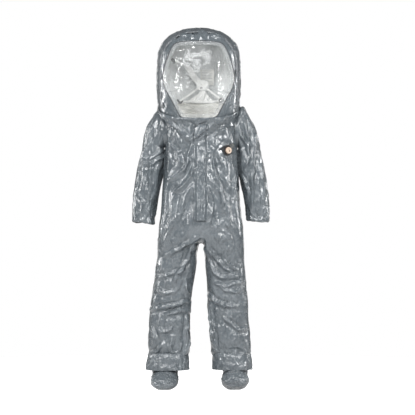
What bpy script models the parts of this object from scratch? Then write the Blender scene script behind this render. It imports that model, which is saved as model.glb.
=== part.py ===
"""Encapsulating chemical protective suit, modelled as it hangs from its shoulders.

Metres, +Z up, the front faces -Y and +X is the wearer's left. Heights in the tables are measured from the
soles of the booties; one empty then lowers everything so that the origin is where the shoulders hold the suit.
Soft walls are drawn WALL thick. Fabric that folds at a joint is a gusset of its own between two stiffer tubes.
"""

import math

import bmesh
import bpy
from mathutils import Matrix, Vector

# ---------------------------------------------------------------- driving dimensions
SHOULDER_REST_Z = 1.440   # height of the origin above the soles
WALL = 0.003              # drawn thickness of the coated fabric
SEAM_GAP = 0.0005         # gap kept between two pieces that meet

TRUNK_SIDES = 36
LIMB_SIDES = 24
FITTING_SIDES = 24
ARMHOLE_SIDES = 32
TRUNK_SQUARE = 3.2        # superellipse exponent of the trunk
HOOD_SQUARE = 2.6
LIMB_SQUARE = 2.3

# The front centre line is straight so that a zipper can run down it.
FRONT_TOP_Z = 1.385
FRONT_TOP_Y = -0.165
FRONT_SLOPE = 0.03

NECK_Z = 1.485            # hood tilt axis
NECK_TILT = 24.0          # degrees that the neck seam drops towards the chest
NECK_HALF_GUSSET = 0.0175
ARMHOLE_Z = 1.358
ARMHOLE_X = 0.1925
ARMHOLE_R = 0.0915
ELBOW_Z = 1.095
ELBOW_HALF_GUSSET = 0.068
HIP_Z = 0.800
HIP_HALF_GUSSET = 0.055
KNEE_Z = 0.480
KNEE_HALF_GUSSET = 0.077
ANKLE_Z = 0.125
ANKLE_HALF_GUSSET = 0.0166
CROTCH_Z = 0.785
PELVIS_FLOOR = (0.226, -0.140, 0.134, 0.0)   # half width, front y, back y and tilt of the trunk at the crotch
BOOT_FLAP_TOP_Z = 0.205
BOOT_FLAP_HEM_Z = 0.107
CUFF_HEM_Z = 0.877

ZIPPER_TOP_Z = 1.372
CHAIN_START = 0.0105      # distances along the zipper from its top
CHAIN_END = 0.4745
STOP_LENGTH = 0.008
SLIDER_START = 0.0125
SLIDER_LENGTH = 0.022
FLAP_LENGTH = 0.500
FLAP_HALF_WIDTH = 0.036

PORT_X = 0.136
PORT_Z = 1.249
VALVE_X = 0.100
VALVE_Z = 1.300

# ---------------------------------------------------------------- shape tables


def front_y(z):
    """The straight front centre line."""
    return FRONT_TOP_Y - FRONT_SLOPE * (FRONT_TOP_Z - z)


# height at the sides, half width, front y (None follows the straight front), back y, tilt in degrees
TORSO = [
    (NECK_Z - NECK_HALF_GUSSET / math.cos(math.radians(NECK_TILT)), 0.196, None, 0.185, NECK_TILT),
    (1.430, 0.189, None, 0.190, 18.0),
    (1.390, 0.188, None, 0.195, 9.0),
    (1.330, 0.188, None, 0.200, 0.0),
    (1.270, 0.188, None, 0.200, 0.0),
    (1.200, 0.187, None, 0.195, 0.0),
    (1.100, 0.195, None, 0.185, 0.0),
    (1.000, 0.205, None, 0.175, 0.0),
    (0.920, 0.212, None, 0.172, 0.0),
    (HIP_Z + HIP_HALF_GUSSET, 0.221, None, 0.170, 0.0),
]
HOOD = [
    (NECK_Z + NECK_HALF_GUSSET / math.cos(math.radians(NECK_TILT)), 0.213, -0.190, 0.200, NECK_TILT),
    (1.550, 0.217, -0.200, 0.214, 20.0),
    (1.600, 0.219, -0.205, 0.225, 13.0),
    (1.660, 0.219, -0.205, 0.230, 7.0),
    (1.720, 0.216, -0.200, 0.225, 3.0),
    (1.770, 0.210, -0.192, 0.215, 0.0),
    (1.810, 0.195, -0.178, 0.195, 0.0),
    (1.845, 0.163, -0.150, 0.165, 0.0),
    (1.872, 0.126, -0.116, 0.125, 0.0),
    (1.890, 0.076, -0.070, 0.075, 0.0),
    (1.899, 0.030, -0.028, 0.030, 0.0),
]
# visor outline from the bottom edge up one side: half width, height
VISOR = [
    (0.099, 1.432), (0.133, 1.517), (0.157, 1.556), (0.181, 1.602), (0.189, 1.658),
    (0.186, 1.730), (0.166, 1.793), (0.135, 1.817), (0.112, 1.824),
]
# the sleeve cap fans round the armpit: angle of the section from upright in degrees, width, half depth
SLEEVE_CAP = [(0.0, 0.183, 0.0915), (13.0, 0.181, 0.089), (27.0, 0.160, 0.084), (48.0, 0.130, 0.078),
              (72.0, 0.113, 0.075)]
# height, inner x, outer x, half depth
SLEEVE = [
    (1.2735, 0.196, 0.310, 0.075), (1.220, 0.196, 0.325, 0.076), (1.163, 0.199, 0.337, 0.074),
    (1.100, 0.205, 0.347, 0.070), (1.027, 0.218, 0.355, 0.066), (0.970, 0.230, 0.360, 0.063),
    (0.915, 0.239, 0.361, 0.059), (0.877, 0.243, 0.357, 0.057),
]
LEG = [
    (0.855, 0.004, 0.221, 0.140), (0.745, 0.022, 0.226, 0.126), (0.700, 0.024, 0.232, 0.122),
    (0.600, 0.027, 0.238, 0.113), (0.557, 0.031, 0.243, 0.109), (0.480, 0.041, 0.253, 0.104),
    (0.403, 0.047, 0.260, 0.100), (0.310, 0.052, 0.269, 0.097), (0.205, 0.057, 0.275, 0.096),
    (0.107, 0.063, 0.277, 0.098),
]
ANKLE_X = 0.178
ANKLE_HALF_WIDTH = 0.064
SOLE_ROUNDING = 0.0065
# bootie sections fan round the instep: angle from level in degrees, length of the section, half width
INSTEP = (-0.055, 0.1084)  # y, z
BOOTIE_FAN = [(0.0, 0.130, 0.062), (22.0, 0.145, 0.063), (42.0, 0.156, 0.064), (62.0, 0.124, 0.066),
              (80.0, 0.109, 0.067)]
# then upright sections: y, top z, bottom z, half width
BOOTIE_TOE = [(-0.085, 0.098, 0.000, 0.068), (-0.130, 0.084, 0.000, 0.068), (-0.170, 0.068, 0.000, 0.062),
              (-0.196, 0.050, 0.006, 0.046), (-0.206, 0.038, 0.014, 0.026)]

COLOURS = {
    "suit_grey": ((0.235, 0.250, 0.262, 1.0), 0.35, 0.0),
    "seam_tape": ((0.170, 0.182, 0.192, 1.0), 0.40, 0.0),
    "clear_visor": ((0.85, 0.88, 0.88, 0.35), 0.05, 0.0),
    "white_liner": ((0.82, 0.82, 0.79, 1.0), 0.60, 0.0),
    "black_rubber": ((0.020, 0.020, 0.022, 1.0), 0.55, 0.0),
    "black_plastic": ((0.030, 0.031, 0.033, 1.0), 0.40, 0.0),
    "tan_plastic": ((0.66, 0.54, 0.43, 1.0), 0.45, 0.0),
    "zip_metal": ((0.55, 0.53, 0.48, 1.0), 0.35, 1.0),
}

ORIGIN = None


# ---------------------------------------------------------------- helpers
def clear_scene():
    for item in list(bpy.data.objects):
        bpy.data.objects.remove(item)


def material(name):
    found = bpy.data.materials.get(name)
    if found:
        return found
    colour, roughness, metallic = COLOURS[name]
    made = bpy.data.materials.new(name)
    made.use_nodes = True
    shader = made.node_tree.nodes["Principled BSDF"]
    shader.inputs["Base Color"].default_value = colour
    shader.inputs["Roughness"].default_value = roughness
    shader.inputs["Metallic"].default_value = metallic
    shader.inputs["Alpha"].default_value = colour[3]
    return made


def interpolate(table, z):
    """The table's row at height z, by straight lines between rows; the table runs downwards or upwards."""
    rows = sorted(table)
    if z <= rows[0][0]:
        return rows[0]
    for low, high in zip(rows, rows[1:]):
        if z <= high[0]:
            share = (z - low[0]) / (high[0] - low[0])
            return tuple(a + share * (b - a) for a, b in zip(low, high))
    return rows[-1]


def superellipse(centre, across, along, half_across, half_along, square, count):
    """A ring of points round centre in the plane of the two unit vectors."""
    power = 2.0 / square
    points = []
    for step in range(count):
        angle = 2.0 * math.pi * step / count
        c, s = math.cos(angle), math.sin(angle)
        a = math.copysign(abs(c) ** power, c) * half_across
        b = math.copysign(abs(s) ** power, s) * half_along
        points.append(centre + across * a + along * b)
    return points


def trunk_ring(row, square, inset=0.0):
    """A trunk or hood section: its plane passes through the side points and tilts about X."""
    z, half, front, back, tilt = row
    slope = math.tan(math.radians(tilt))
    if front is None:
        front = front_y(z + FRONT_TOP_Y * slope)
    front, back, half = front + inset, back - inset, half - inset
    middle = (front + back) / 2.0
    centre = Vector((0.0, middle, z + middle * slope))
    along = Vector((0.0, 1.0, slope))
    return superellipse(centre, Vector((1, 0, 0)), along, half, (back - front) / 2.0, square, TRUNK_SIDES)


def level_ring(side, inner, outer, z, depth, square=LIMB_SQUARE, inset=0.0, middle_y=0.0):
    centre = Vector((side * (inner + outer) / 2.0, middle_y, z))
    half = (outer - inner) / 2.0 - inset
    return superellipse(centre, Vector((side, 0, 0)), Vector((0, side, 0)), half, depth - inset, square,
                        LIMB_SIDES)


def new_object(name, mesh, colour, helper=False):
    made = bpy.data.objects.new(name, mesh)
    bpy.context.scene.collection.objects.link(made)
    made.parent = ORIGIN
    if helper:
        made.hide_render = True
        made.display_type = "WIRE"
    else:
        made.data.materials.append(material(colour))
        made.data.shade_smooth()
        made.data.set_sharp_from_angle(angle=math.radians(40))
    return made


def mesh_of(name, rings, closed_loop=False, capped=True):
    """A mesh through the rings, capped at both ends or joined from the last ring back to the first."""
    work = bmesh.new()
    rows = [[work.verts.new(point) for point in ring] for ring in rings]
    pairs = list(zip(rows, rows[1:]))
    if closed_loop:
        pairs.append((rows[-1], rows[0]))
    for low, high in pairs:
        for here in range(len(low)):
            after = (here + 1) % len(low)
            work.faces.new((low[here], low[after], high[after], high[here]))
    if capped and not closed_loop:
        work.faces.new(list(reversed(rows[0])))
        work.faces.new(rows[-1])
    bmesh.ops.recalc_face_normals(work, faces=work.faces)
    mesh = bpy.data.meshes.new(name)
    work.to_mesh(mesh)
    work.free()
    return mesh


def solid(name, rings, colour="suit_grey", helper=False):
    return new_object(name, mesh_of(name, rings), colour, helper)


def tube(name, outer, inner, colour="suit_grey"):
    """A hollow tube, open at both ends: up the outer rings and back down the inner ones."""
    return new_object(name, mesh_of(name, outer + list(reversed(inner)), closed_loop=True), colour)


def pocket(name, outer, inner, colour="suit_grey"):
    """A hollow tube that is open at its first ring and closed at its last."""
    return new_object(name, mesh_of(name, list(reversed(outer)) + inner), colour)


def boolean(target, cutter, operation="DIFFERENCE"):
    step = target.modifiers.new(operation.title() + " " + cutter.name, "BOOLEAN")
    step.operation = operation
    step.object = cutter
    step.solver = "EXACT"
    return step


def frame_at(point, outward, up=Vector((0, 0, 1))):
    """A matrix whose +Z points outward from point and whose +Y is as near to up as it can be."""
    z = outward.normalized()
    x = up.cross(z).normalized()
    y = z.cross(x)
    return Matrix.Translation(point) @ Matrix((x, y, z)).transposed().to_4x4()


def turned(name, profile, matrix, colour, helper=False, sides=FITTING_SIDES):
    """A turned piece: (radius, height) points round the frame's +Z. A profile that starts and ends at
    radius 0 makes a solid, and any other makes a ring."""
    closed = profile[0][0] > 0.0
    points = profile if closed else profile[1:-1]
    rings = []
    for radius, height in points:
        angles = [2.0 * math.pi * step / sides for step in range(sides)]
        rings.append([matrix @ Vector((radius * math.cos(a), radius * math.sin(a), height)) for a in angles])
    return new_object(name, mesh_of(name, rings, closed_loop=closed), colour, helper)


def ring_profile(inner, outer, low, high):
    return [(outer, low), (outer, high), (inner, high), (inner, low)]


def disc_profile(radius, low, high, chamfer=0.0005):
    return [(0, low), (radius - chamfer, low), (radius, low + chamfer), (radius, high - chamfer),
            (radius - chamfer, high), (0, high)]


def zipper_frame():
    """Local x across, y down the zipper, z out of the chest, from the zipper's top on the front line."""
    down = Vector((0.0, -FRONT_SLOPE, -1.0)).normalized()
    out = Vector((0.0, -1.0, FRONT_SLOPE)).normalized()
    across = down.cross(out)
    turn = Matrix((across, down, out)).transposed().to_4x4()
    return Matrix.Translation((0.0, front_y(ZIPPER_TOP_Z), ZIPPER_TOP_Z)) @ turn


def extrusion(name, outline, start, end, matrix, colour):
    """A prism along the frame's y: outline is (x, z) points."""
    rings = [[matrix @ Vector((x, y, z)) for x, z in outline] for y in (start, end)]
    return new_object(name, mesh_of(name, rings), colour)


def box_outline(left, right, low, high):
    return [(left, low), (right, low), (right, high), (left, high)]


# ---------------------------------------------------------------- trunk
def torso_shell():
    outer = [trunk_ring(row, TRUNK_SQUARE) for row in TORSO]
    inner = [trunk_ring(row, TRUNK_SQUARE, WALL) for row in TORSO]
    body = tube("torso_shell", outer, inner)
    for side in (1, -1):
        turn = frame_at(Vector((0, 0, ARMHOLE_Z)), Vector((side, 0, 0)))
        label = side_name(side)
        boolean(body, turned("armhole_cut_" + label, disc_profile(ARMHOLE_R + SEAM_GAP, 0.10, 0.25), turn,
                             None, helper=True, sides=ARMHOLE_SIDES))
        boolean(body, turned("valve_cut_" + label, disc_profile(0.0165, -0.03, 0.03), valve_frame(side), None,
                             helper=True))
    boolean(body, turned("port_cut", disc_profile(0.0145, -0.03, 0.03), port_frame(), None, helper=True))
    return body


def side_name(side):
    return "left" if side > 0 else "right"


def neck_gusset():
    low, high = TORSO[0], HOOD[0]
    middle = tuple((a + b) / 2.0 for a, b in zip(with_front(low), high))
    rows = [shifted(with_front(low), SEAM_GAP), middle, shifted(high, -SEAM_GAP)]
    outer = [trunk_ring(row, (TRUNK_SQUARE + HOOD_SQUARE) / 2.0) for row in rows]
    inner = [trunk_ring(row, (TRUNK_SQUARE + HOOD_SQUARE) / 2.0, WALL) for row in rows]
    return tube("neck_gusset", outer, inner)


def with_front(row):
    z, half, front, back, tilt = row
    if front is None:
        front = front_y(z + FRONT_TOP_Y * math.tan(math.radians(tilt)))
    return (z, half, front, back, tilt)


def shifted(row, rise):
    return (row[0] + rise, *row[1:])


def armhole_collar(side):
    """The stiffened round seam that the sleeve turns on."""
    turn = frame_at(Vector((0, 0, ARMHOLE_Z)), Vector((side, 0, 0)))
    return turned("armhole_collar_" + side_name(side),
                  ring_profile(ARMHOLE_R - 0.007, ARMHOLE_R, 0.172, ARMHOLE_X - SEAM_GAP), turn, "seam_tape",
                  sides=ARMHOLE_SIDES)


def crotch_gusset():
    """The fabric between the pelvis and the two thighs, cut away inside."""
    def block(inset, top, bottom, label, helper):
        rows = [(top, *with_front(TORSO[-1])[1:]), (bottom, *PELVIS_FLOOR)]
        return solid(label, [trunk_ring(row, TRUNK_SQUARE, inset) for row in rows], helper=helper)

    def leg(side, inset, top, bottom, label):
        rings = []
        for z in (top, HIP_Z, bottom):
            _, inner, outer, depth = interpolate(LEG, z)
            rings.append(level_ring(side, inner, outer, z, depth, inset=inset))
        return solid(label, rings, helper=True)

    bottom = HIP_Z - HIP_HALF_GUSSET + SEAM_GAP
    top = HIP_Z + HIP_HALF_GUSSET - SEAM_GAP
    body = block(0.0, top, CROTCH_Z, "crotch_gusset", False)
    for side in (1, -1):
        boolean(body, leg(side, 0.0, top - 0.040, bottom, "leg_stub_" + side_name(side)), "UNION")
    boolean(body, block(WALL, top + 0.001, CROTCH_Z + WALL, "pelvis_hollow", True))
    for side in (1, -1):
        boolean(body, leg(side, WALL, top - 0.041, bottom - 0.01, "leg_hollow_" + side_name(side)))
    return body


# ---------------------------------------------------------------- hood
def hood_rings(offset):
    return [trunk_ring(row, HOOD_SQUARE, -offset) for row in HOOD]


def visor_prism(name, grow, near=-0.320, far=-0.030):
    """A prism through the hood's front with the visor's outline, grown by a margin."""
    half_height = (VISOR[0][1] + VISOR[-1][1]) / 2.0
    side = []
    for half, z in VISOR:
        rise = grow if z > half_height else -grow
        if VISOR[1][1] < z < VISOR[-2][1]:
            rise = 0.0
        side.append((half + grow, z + rise))
    outline = side + [(-x, z) for x, z in reversed(side)]
    rings = [[Vector((x, y, z)) for x, z in outline] for y in (near, far)]
    return solid(name, rings, helper=True)


def hood_shell():
    outer, inner = hood_rings(0.0), hood_rings(-WALL)
    shell = pocket("hood_shell", outer, inner)
    boolean(shell, visor_prism("visor_cut", 0.0))
    return shell


def visor_lens():
    lens = pocket("visor_lens", hood_rings(0.0), hood_rings(-WALL))
    boolean(lens, visor_prism("visor_keep", -SEAM_GAP), "INTERSECT")
    return lens


def visor_frame():
    """The welded band that joins visor and hood, lying over both on the outside."""
    band = pocket("visor_frame", hood_rings(0.0030), hood_rings(0.0008))
    boolean(band, visor_prism("band_keep", 0.011, near=-0.330), "INTERSECT")
    boolean(band, visor_prism("band_cut", -0.011, near=-0.350, far=-0.010))
    return band


def surface_frame(table, square, x, z, back):
    """A frame on the true outer curve of a trunk table at a given x and height, +Z outwards."""
    row = interpolate([with_front(r) for r in table], z)
    _, half, front, rear, _ = row
    middle, depth = (front + rear) / 2.0, (rear - front) / 2.0
    share = (1.0 - (abs(x) / half) ** square) ** (1.0 / square)
    sign = 1.0 if back else -1.0
    outward = Vector((math.copysign(abs(x) ** (square - 1.0) / half ** square, x),
                      sign * (depth * share) ** (square - 1.0) / depth ** square, 0.0))
    slope = math.tan(math.radians(row[4]))
    y = middle + sign * depth * share
    return frame_at(Vector((x, y, z + y * slope)), outward)


def valve_frame(side):
    return surface_frame(TORSO, TRUNK_SQUARE, side * VALVE_X, VALVE_Z, back=True)


def port_frame():
    return surface_frame(TORSO, TRUNK_SQUARE, PORT_X, PORT_Z, back=False)


def exhaust_valve(side):
    """Housing outside, nut inside, rubber disc on its seat and a vented cover."""
    turn, label = valve_frame(side), side_name(side)
    housing = [(0.016, -0.0140), (0.016, 0.0010), (0.024, 0.0010), (0.024, 0.0060), (0.0205, 0.0085),
               (0.0135, 0.0085), (0.0135, -0.0140)]
    turned("valve_housing_" + label, housing, turn, "black_plastic")
    turned("valve_nut_" + label, ring_profile(0.0163, 0.0225, -0.0125, -0.0085), turn, "black_plastic")
    turned("valve_disc_" + label, disc_profile(0.0128, 0.0030, 0.0045), turn, "black_rubber")
    cover = [(0.0, 0.0140), (0.0240, 0.0140), (0.0250, 0.0150), (0.0250, 0.0175), (0.0225, 0.0190),
             (0.0, 0.0190)]
    cap = turned("valve_cover_" + label, cover, turn, "black_plastic")
    for step in range(4):
        angle = math.radians(45.0 + 90.0 * step)
        foot = turn @ Matrix.Translation((0.018 * math.cos(angle), 0.018 * math.sin(angle), 0.0))
        post = turned(f"cover_post_{label}_{step}", disc_profile(0.0022, 0.0088, 0.0160), foot, None,
                      helper=True, sides=8)
        boolean(cap, post, "UNION")


def back_wall_panel(name, outline, depth, thickness, colour):
    """A flat soft panel standing just inside the hood's back: outline is (x, z) points."""
    rings = [[Vector((x, y, z)) for x, z in outline] for y in (depth - thickness, depth)]
    return new_object(name, mesh_of(name, rings), colour)


def head_clip(side):
    """The clip that ties a strap of the head harness to the hood's seam."""
    outline = [(0.100, 1.508), (0.124, 1.504), (0.130, 1.516), (0.122, 1.538), (0.102, 1.534)]
    back_wall_panel("head_clip_" + side_name(side), [(side * x, z) for x, z in outline], 0.152, 0.010,
                    "black_plastic")


def hood_inside():
    liner = [(-0.095, 1.425), (0.095, 1.425), (0.108, 1.470), (0.104, 1.508), (0.060, 1.520),
             (0.030, 1.545), (0.012, 1.562), (-0.012, 1.562), (-0.034, 1.545), (-0.065, 1.518),
             (-0.106, 1.505), (-0.110, 1.470)]
    back_wall_panel("neck_liner", liner, 0.120, 0.004, "white_liner")
    back_wall_panel("size_label", [(-0.004, 1.608), (0.069, 1.608), (0.069, 1.690), (-0.004, 1.690)], 0.192,
                    0.0012, "white_liner")
    pad = [(-0.024, 1.580), (-0.016, 1.570), (0.026, 1.574), (0.040, 1.592), (0.030, 1.620), (0.006, 1.629),
           (-0.014, 1.618)]
    back_wall_panel("head_pad", pad, 0.130, 0.008, "white_liner")
    for side in (1, -1):
        head_clip(side)
        near = Vector((0.038 if side > 0 else -0.026, 0.128, 1.580 if side > 0 else 1.576))
        far = Vector((side * 0.098, 0.147, 1.527))
        run = far - near
        drop = Vector((0, 0, 0.0035))
        thick = Vector((0, 0.0008, 0))
        near = near + run.normalized() * 0.004
        corners = [drop + thick, drop - thick, -drop - thick, -drop + thick]
        rings = [[end + corner for corner in corners] for end in (near, far)]
        new_object("head_strap_" + side_name(side), mesh_of("head_strap", rings), "white_liner")


# ---------------------------------------------------------------- closure
def closure():
    turn = zipper_frame()
    for side in (1, -1):
        edges = sorted((side * 0.0041, side * 0.0200))
        extrusion("zipper_tape_" + side_name(side), box_outline(*edges, 0.0004, 0.0014), 0.0, 0.485, turn,
                  "seam_tape")
    extrusion("zipper_chain", box_outline(-0.0036, 0.0036, 0.0004, 0.0050), CHAIN_START, CHAIN_END, turn,
              "zip_metal")
    stop = box_outline(-0.0060, 0.0060, 0.0018, 0.0070)
    extrusion("zipper_top_stop", stop, CHAIN_START - SEAM_GAP - STOP_LENGTH, CHAIN_START - SEAM_GAP, turn,
              "zip_metal")
    extrusion("zipper_bottom_stop", stop, CHAIN_END + SEAM_GAP, CHAIN_END + SEAM_GAP + STOP_LENGTH, turn,
              "zip_metal")
    channel = [(-0.0078, 0.0018), (-0.0042, 0.0018), (-0.0042, 0.0054), (0.0042, 0.0054), (0.0042, 0.0018),
               (0.0078, 0.0018), (0.0078, 0.0080), (0.0060, 0.0092), (-0.0060, 0.0092), (-0.0078, 0.0080)]
    extrusion("zipper_slider", channel, SLIDER_START, SLIDER_START + SLIDER_LENGTH, turn, "zip_metal")
    pull = extrusion("zipper_pull", box_outline(-0.0042, 0.0042, 0.0096, 0.0110), 0.0145, 0.0520, turn,
                     "zip_metal")
    eye = turn @ Matrix.Translation((0.0, 0.0455, 0.0))
    boolean(pull, turned("pull_eye", disc_profile(0.0022, 0.005, 0.015), eye, None, helper=True, sides=12))
    extrusion("loop_strip", box_outline(0.0230, 0.0340, 0.0004, 0.0012), 0.004, 0.480, turn, "black_rubber")
    extrusion("hook_strip", box_outline(0.0230, 0.0340, 0.0015, 0.0023), 0.004, 0.480, turn, "black_rubber")
    edge, thick, ridge, top = 0.0026, 0.0015, 0.0140, 0.0120
    foot = 0.0225
    under = [(-FLAP_HALF_WIDTH, edge), (-foot, edge), (-ridge, top), (ridge, top), (foot, edge),
             (FLAP_HALF_WIDTH, edge)]
    over = [(x, z + thick) for x, z in reversed(under)]
    extrusion("storm_flap", under + over, -0.006, FLAP_LENGTH - 0.006, turn, "suit_grey")


# ---------------------------------------------------------------- air line port
def air_port():
    turn = port_frame()
    flange = [(0.0142, 0.0006), (0.0280, 0.0006), (0.0280, 0.0036), (0.0195, 0.0036), (0.0190, 0.0070),
              (0.0142, 0.0070)]
    turned("port_flange", flange, turn, "black_plastic")
    turned("port_barrel", ring_profile(0.0085, 0.0137, -0.0300, 0.0105), turn, "zip_metal")
    turned("port_nut", ring_profile(0.0142, 0.0230, -0.0160, -0.0110), turn, "black_plastic")
    cap = [(0.0, 0.0110), (0.0165, 0.0110), (0.0175, 0.0120), (0.0175, 0.0185), (0.0150, 0.0205),
           (0.0, 0.0205)]
    turned("port_cap", cap, turn, "tan_plastic")
    eyelet = turn @ Matrix.Translation((0.0240, 0.0240, 0.0))
    turned("tether_eyelet", ring_profile(0.0055, 0.0115, 0.0075, 0.0105), eyelet, "zip_metal")
    # a flat black tether from its anchor on the chest, over the cap, to the eyelet
    route = [(-0.0400, 0.0060), (-0.0330, 0.0150), (-0.0200, 0.0210), (-0.0050, 0.0250), (0.0100, 0.0252)]
    half = 0.0035
    left = [(x - 0.35 * half, y + half) for x, y in route]
    right = [(x + 0.35 * half, y - half) for x, y in reversed(route)]
    rings = [[turn @ Vector((x, y, z)) for x, y in left + right] for z in (0.0078, 0.0100)]
    new_object("port_tether", mesh_of("port_tether", rings), "black_rubber")
    anchor = turn @ Matrix.Translation((-0.0400, 0.0060, 0.0))
    turned("tether_anchor", disc_profile(0.0060, 0.0030, 0.0074), anchor, "black_plastic", sides=12)


# ---------------------------------------------------------------- sleeves
def cap_ring(side, angle, width, depth, inset):
    """A sleeve section that hinges outwards round the armpit."""
    lean = math.radians(angle)
    armpit = Vector((side * (ARMHOLE_X + SEAM_GAP + 0.0035 * math.sin(lean)), 0.0, ARMHOLE_Z - ARMHOLE_R))
    outward = Vector((side * math.sin(lean), 0.0, math.cos(lean)))
    centre = armpit + outward * (width / 2.0)
    return superellipse(centre, outward, Vector((0, -side, 0)), width / 2.0 - inset, depth - inset, 2.0,
                        LIMB_SIDES)


def sleeve_rings(side, top, bottom, inset):
    heights = [top, *[row[0] for row in SLEEVE if bottom < row[0] < top], bottom]
    rings = []
    for z in heights:
        _, inner, outer, depth = interpolate(SLEEVE, z)
        rings.append(turned_ring(side, inner, outer, z, depth, inset))
    return rings


def turned_ring(side, inner, outer, z, depth, inset):
    """A level sleeve section whose points start at the outer side, in step with the sleeve cap's."""
    centre = Vector((side * (inner + outer) / 2.0, 0.0, z))
    return superellipse(centre, Vector((side, 0, 0)), Vector((0, -side, 0)), (outer - inner) / 2.0 - inset,
                        depth - inset, 2.15, LIMB_SIDES)


def sleeve(side):
    label = side_name(side)
    elbow_top, elbow_low = ELBOW_Z + ELBOW_HALF_GUSSET, ELBOW_Z - ELBOW_HALF_GUSSET
    walls = []
    for inset in (0.0, WALL):
        cap = [cap_ring(side, *row, inset) for row in SLEEVE_CAP]
        walls.append(cap + sleeve_rings(side, SLEEVE[0][0], elbow_top, inset))
    tube("upper_sleeve_" + label, *walls)
    tube("elbow_gusset_" + label, *[sleeve_rings(side, elbow_top - SEAM_GAP, elbow_low + SEAM_GAP, inset)
                                    for inset in (0.0, WALL)])
    tube("forearm_sleeve_" + label, *[sleeve_rings(side, elbow_low, CUFF_HEM_Z + 0.003, inset)
                                      for inset in (0.0, WALL)])
    tube("cuff_band_" + label, *[sleeve_rings(side, CUFF_HEM_Z + 0.040, CUFF_HEM_Z, inset)
                                 for inset in (-0.0030, -0.0006)], colour="seam_tape")


# ---------------------------------------------------------------- legs
def leg_rings(side, top, bottom, inset):
    heights = [top, *[row[0] for row in LEG if bottom < row[0] < top], bottom]
    rings = []
    for z in heights:
        _, inner, outer, depth = interpolate(LEG, z)
        rings.append(level_ring(side, inner, outer, z, depth, inset=inset))
    return rings


def ankle_ring(side, z, inset, grow=0.0):
    half = ANKLE_HALF_WIDTH + grow
    return level_ring(side, ANKLE_X - half, ANKLE_X + half, z, half, inset=inset, middle_y=0.010)


def leg(side):
    label = side_name(side)
    hip_low = HIP_Z - HIP_HALF_GUSSET
    knee_top, knee_low = KNEE_Z + KNEE_HALF_GUSSET, KNEE_Z - KNEE_HALF_GUSSET
    ankle_top, ankle_low = ANKLE_Z + ANKLE_HALF_GUSSET, ANKLE_Z - ANKLE_HALF_GUSSET
    both = (0.0, WALL)
    tube("thigh_" + label, *[leg_rings(side, hip_low, knee_top, inset) for inset in both])
    tube("knee_gusset_" + label, *[leg_rings(side, knee_top - SEAM_GAP, knee_low + SEAM_GAP, inset)
                                   for inset in both])
    tube("shin_" + label, *[leg_rings(side, knee_low, BOOT_FLAP_TOP_Z, inset)
                            + [ankle_ring(side, BOOT_FLAP_TOP_Z - 0.035, inset, 0.006),
                               ankle_ring(side, ankle_top, inset)] for inset in both])
    tube("boot_flap_" + label, *[leg_rings(side, BOOT_FLAP_TOP_Z + 0.020, BOOT_FLAP_HEM_Z, inset)
                                 for inset in (-0.0035, -0.0008)])
    tube("ankle_gusset_" + label, *[[ankle_ring(side, ankle_top - SEAM_GAP, inset),
                                     ankle_ring(side, ankle_low + SEAM_GAP, inset)] for inset in both])
    bootie(side)


def flat_soled(ring, floor):
    """The ring with its lowest points laid flat, so that the foot has a sole."""
    return [Vector((p.x, p.y, floor)) if p.z < floor + SOLE_ROUNDING else p for p in ring]


def bootie(side):
    """The closed sock: sections fan round the instep and then stand upright to the toe."""
    walls = []
    for inset in (0.0, WALL):
        rings = []
        for angle, length, half in BOOTIE_FAN:
            lean = math.radians(angle)
            back = Vector((0.0, math.cos(lean), -math.sin(lean)))
            middle = Vector((side * ANKLE_X, INSTEP[0], INSTEP[1])) + back * (length / 2.0)
            rings.append(superellipse(middle, Vector((side, 0, 0)), side * back, half - inset,
                                      length / 2.0 - inset, LIMB_SQUARE, LIMB_SIDES))
        for y, top, bottom, half in BOOTIE_TOE:
            middle = Vector((side * ANKLE_X, y + inset, (top + bottom) / 2.0))
            rings.append(superellipse(middle, Vector((side, 0, 0)), Vector((0, 0, -side)), half - inset,
                                      (top - bottom) / 2.0 - inset, LIMB_SQUARE, LIMB_SIDES))
        walls.append([flat_soled(ring, inset) for ring in rings])
    pocket("bootie_" + side_name(side), *walls)


# ---------------------------------------------------------------- the suit
def main():
    global ORIGIN
    clear_scene()
    ORIGIN = bpy.data.objects.new("shoulder_rest", None)
    bpy.context.scene.collection.objects.link(ORIGIN)
    ORIGIN.location = (0.0, 0.0, -SHOULDER_REST_Z)
    torso_shell()
    neck_gusset()
    crotch_gusset()
    closure()
    air_port()
    hood_shell()
    visor_lens()
    visor_frame()
    hood_inside()
    for side in (1, -1):
        armhole_collar(side)
        exhaust_valve(side)
        sleeve(side)
        leg(side)


main()
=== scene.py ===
"""Looks of the chemical protective suit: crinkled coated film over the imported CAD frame.

Shapes are worked out in heights above the soles and moved down to the frame's origin when a mesh is made.
"""

import itertools
import math

import bmesh
import bpy
import numpy as np
from mathutils import Matrix, Vector


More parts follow.
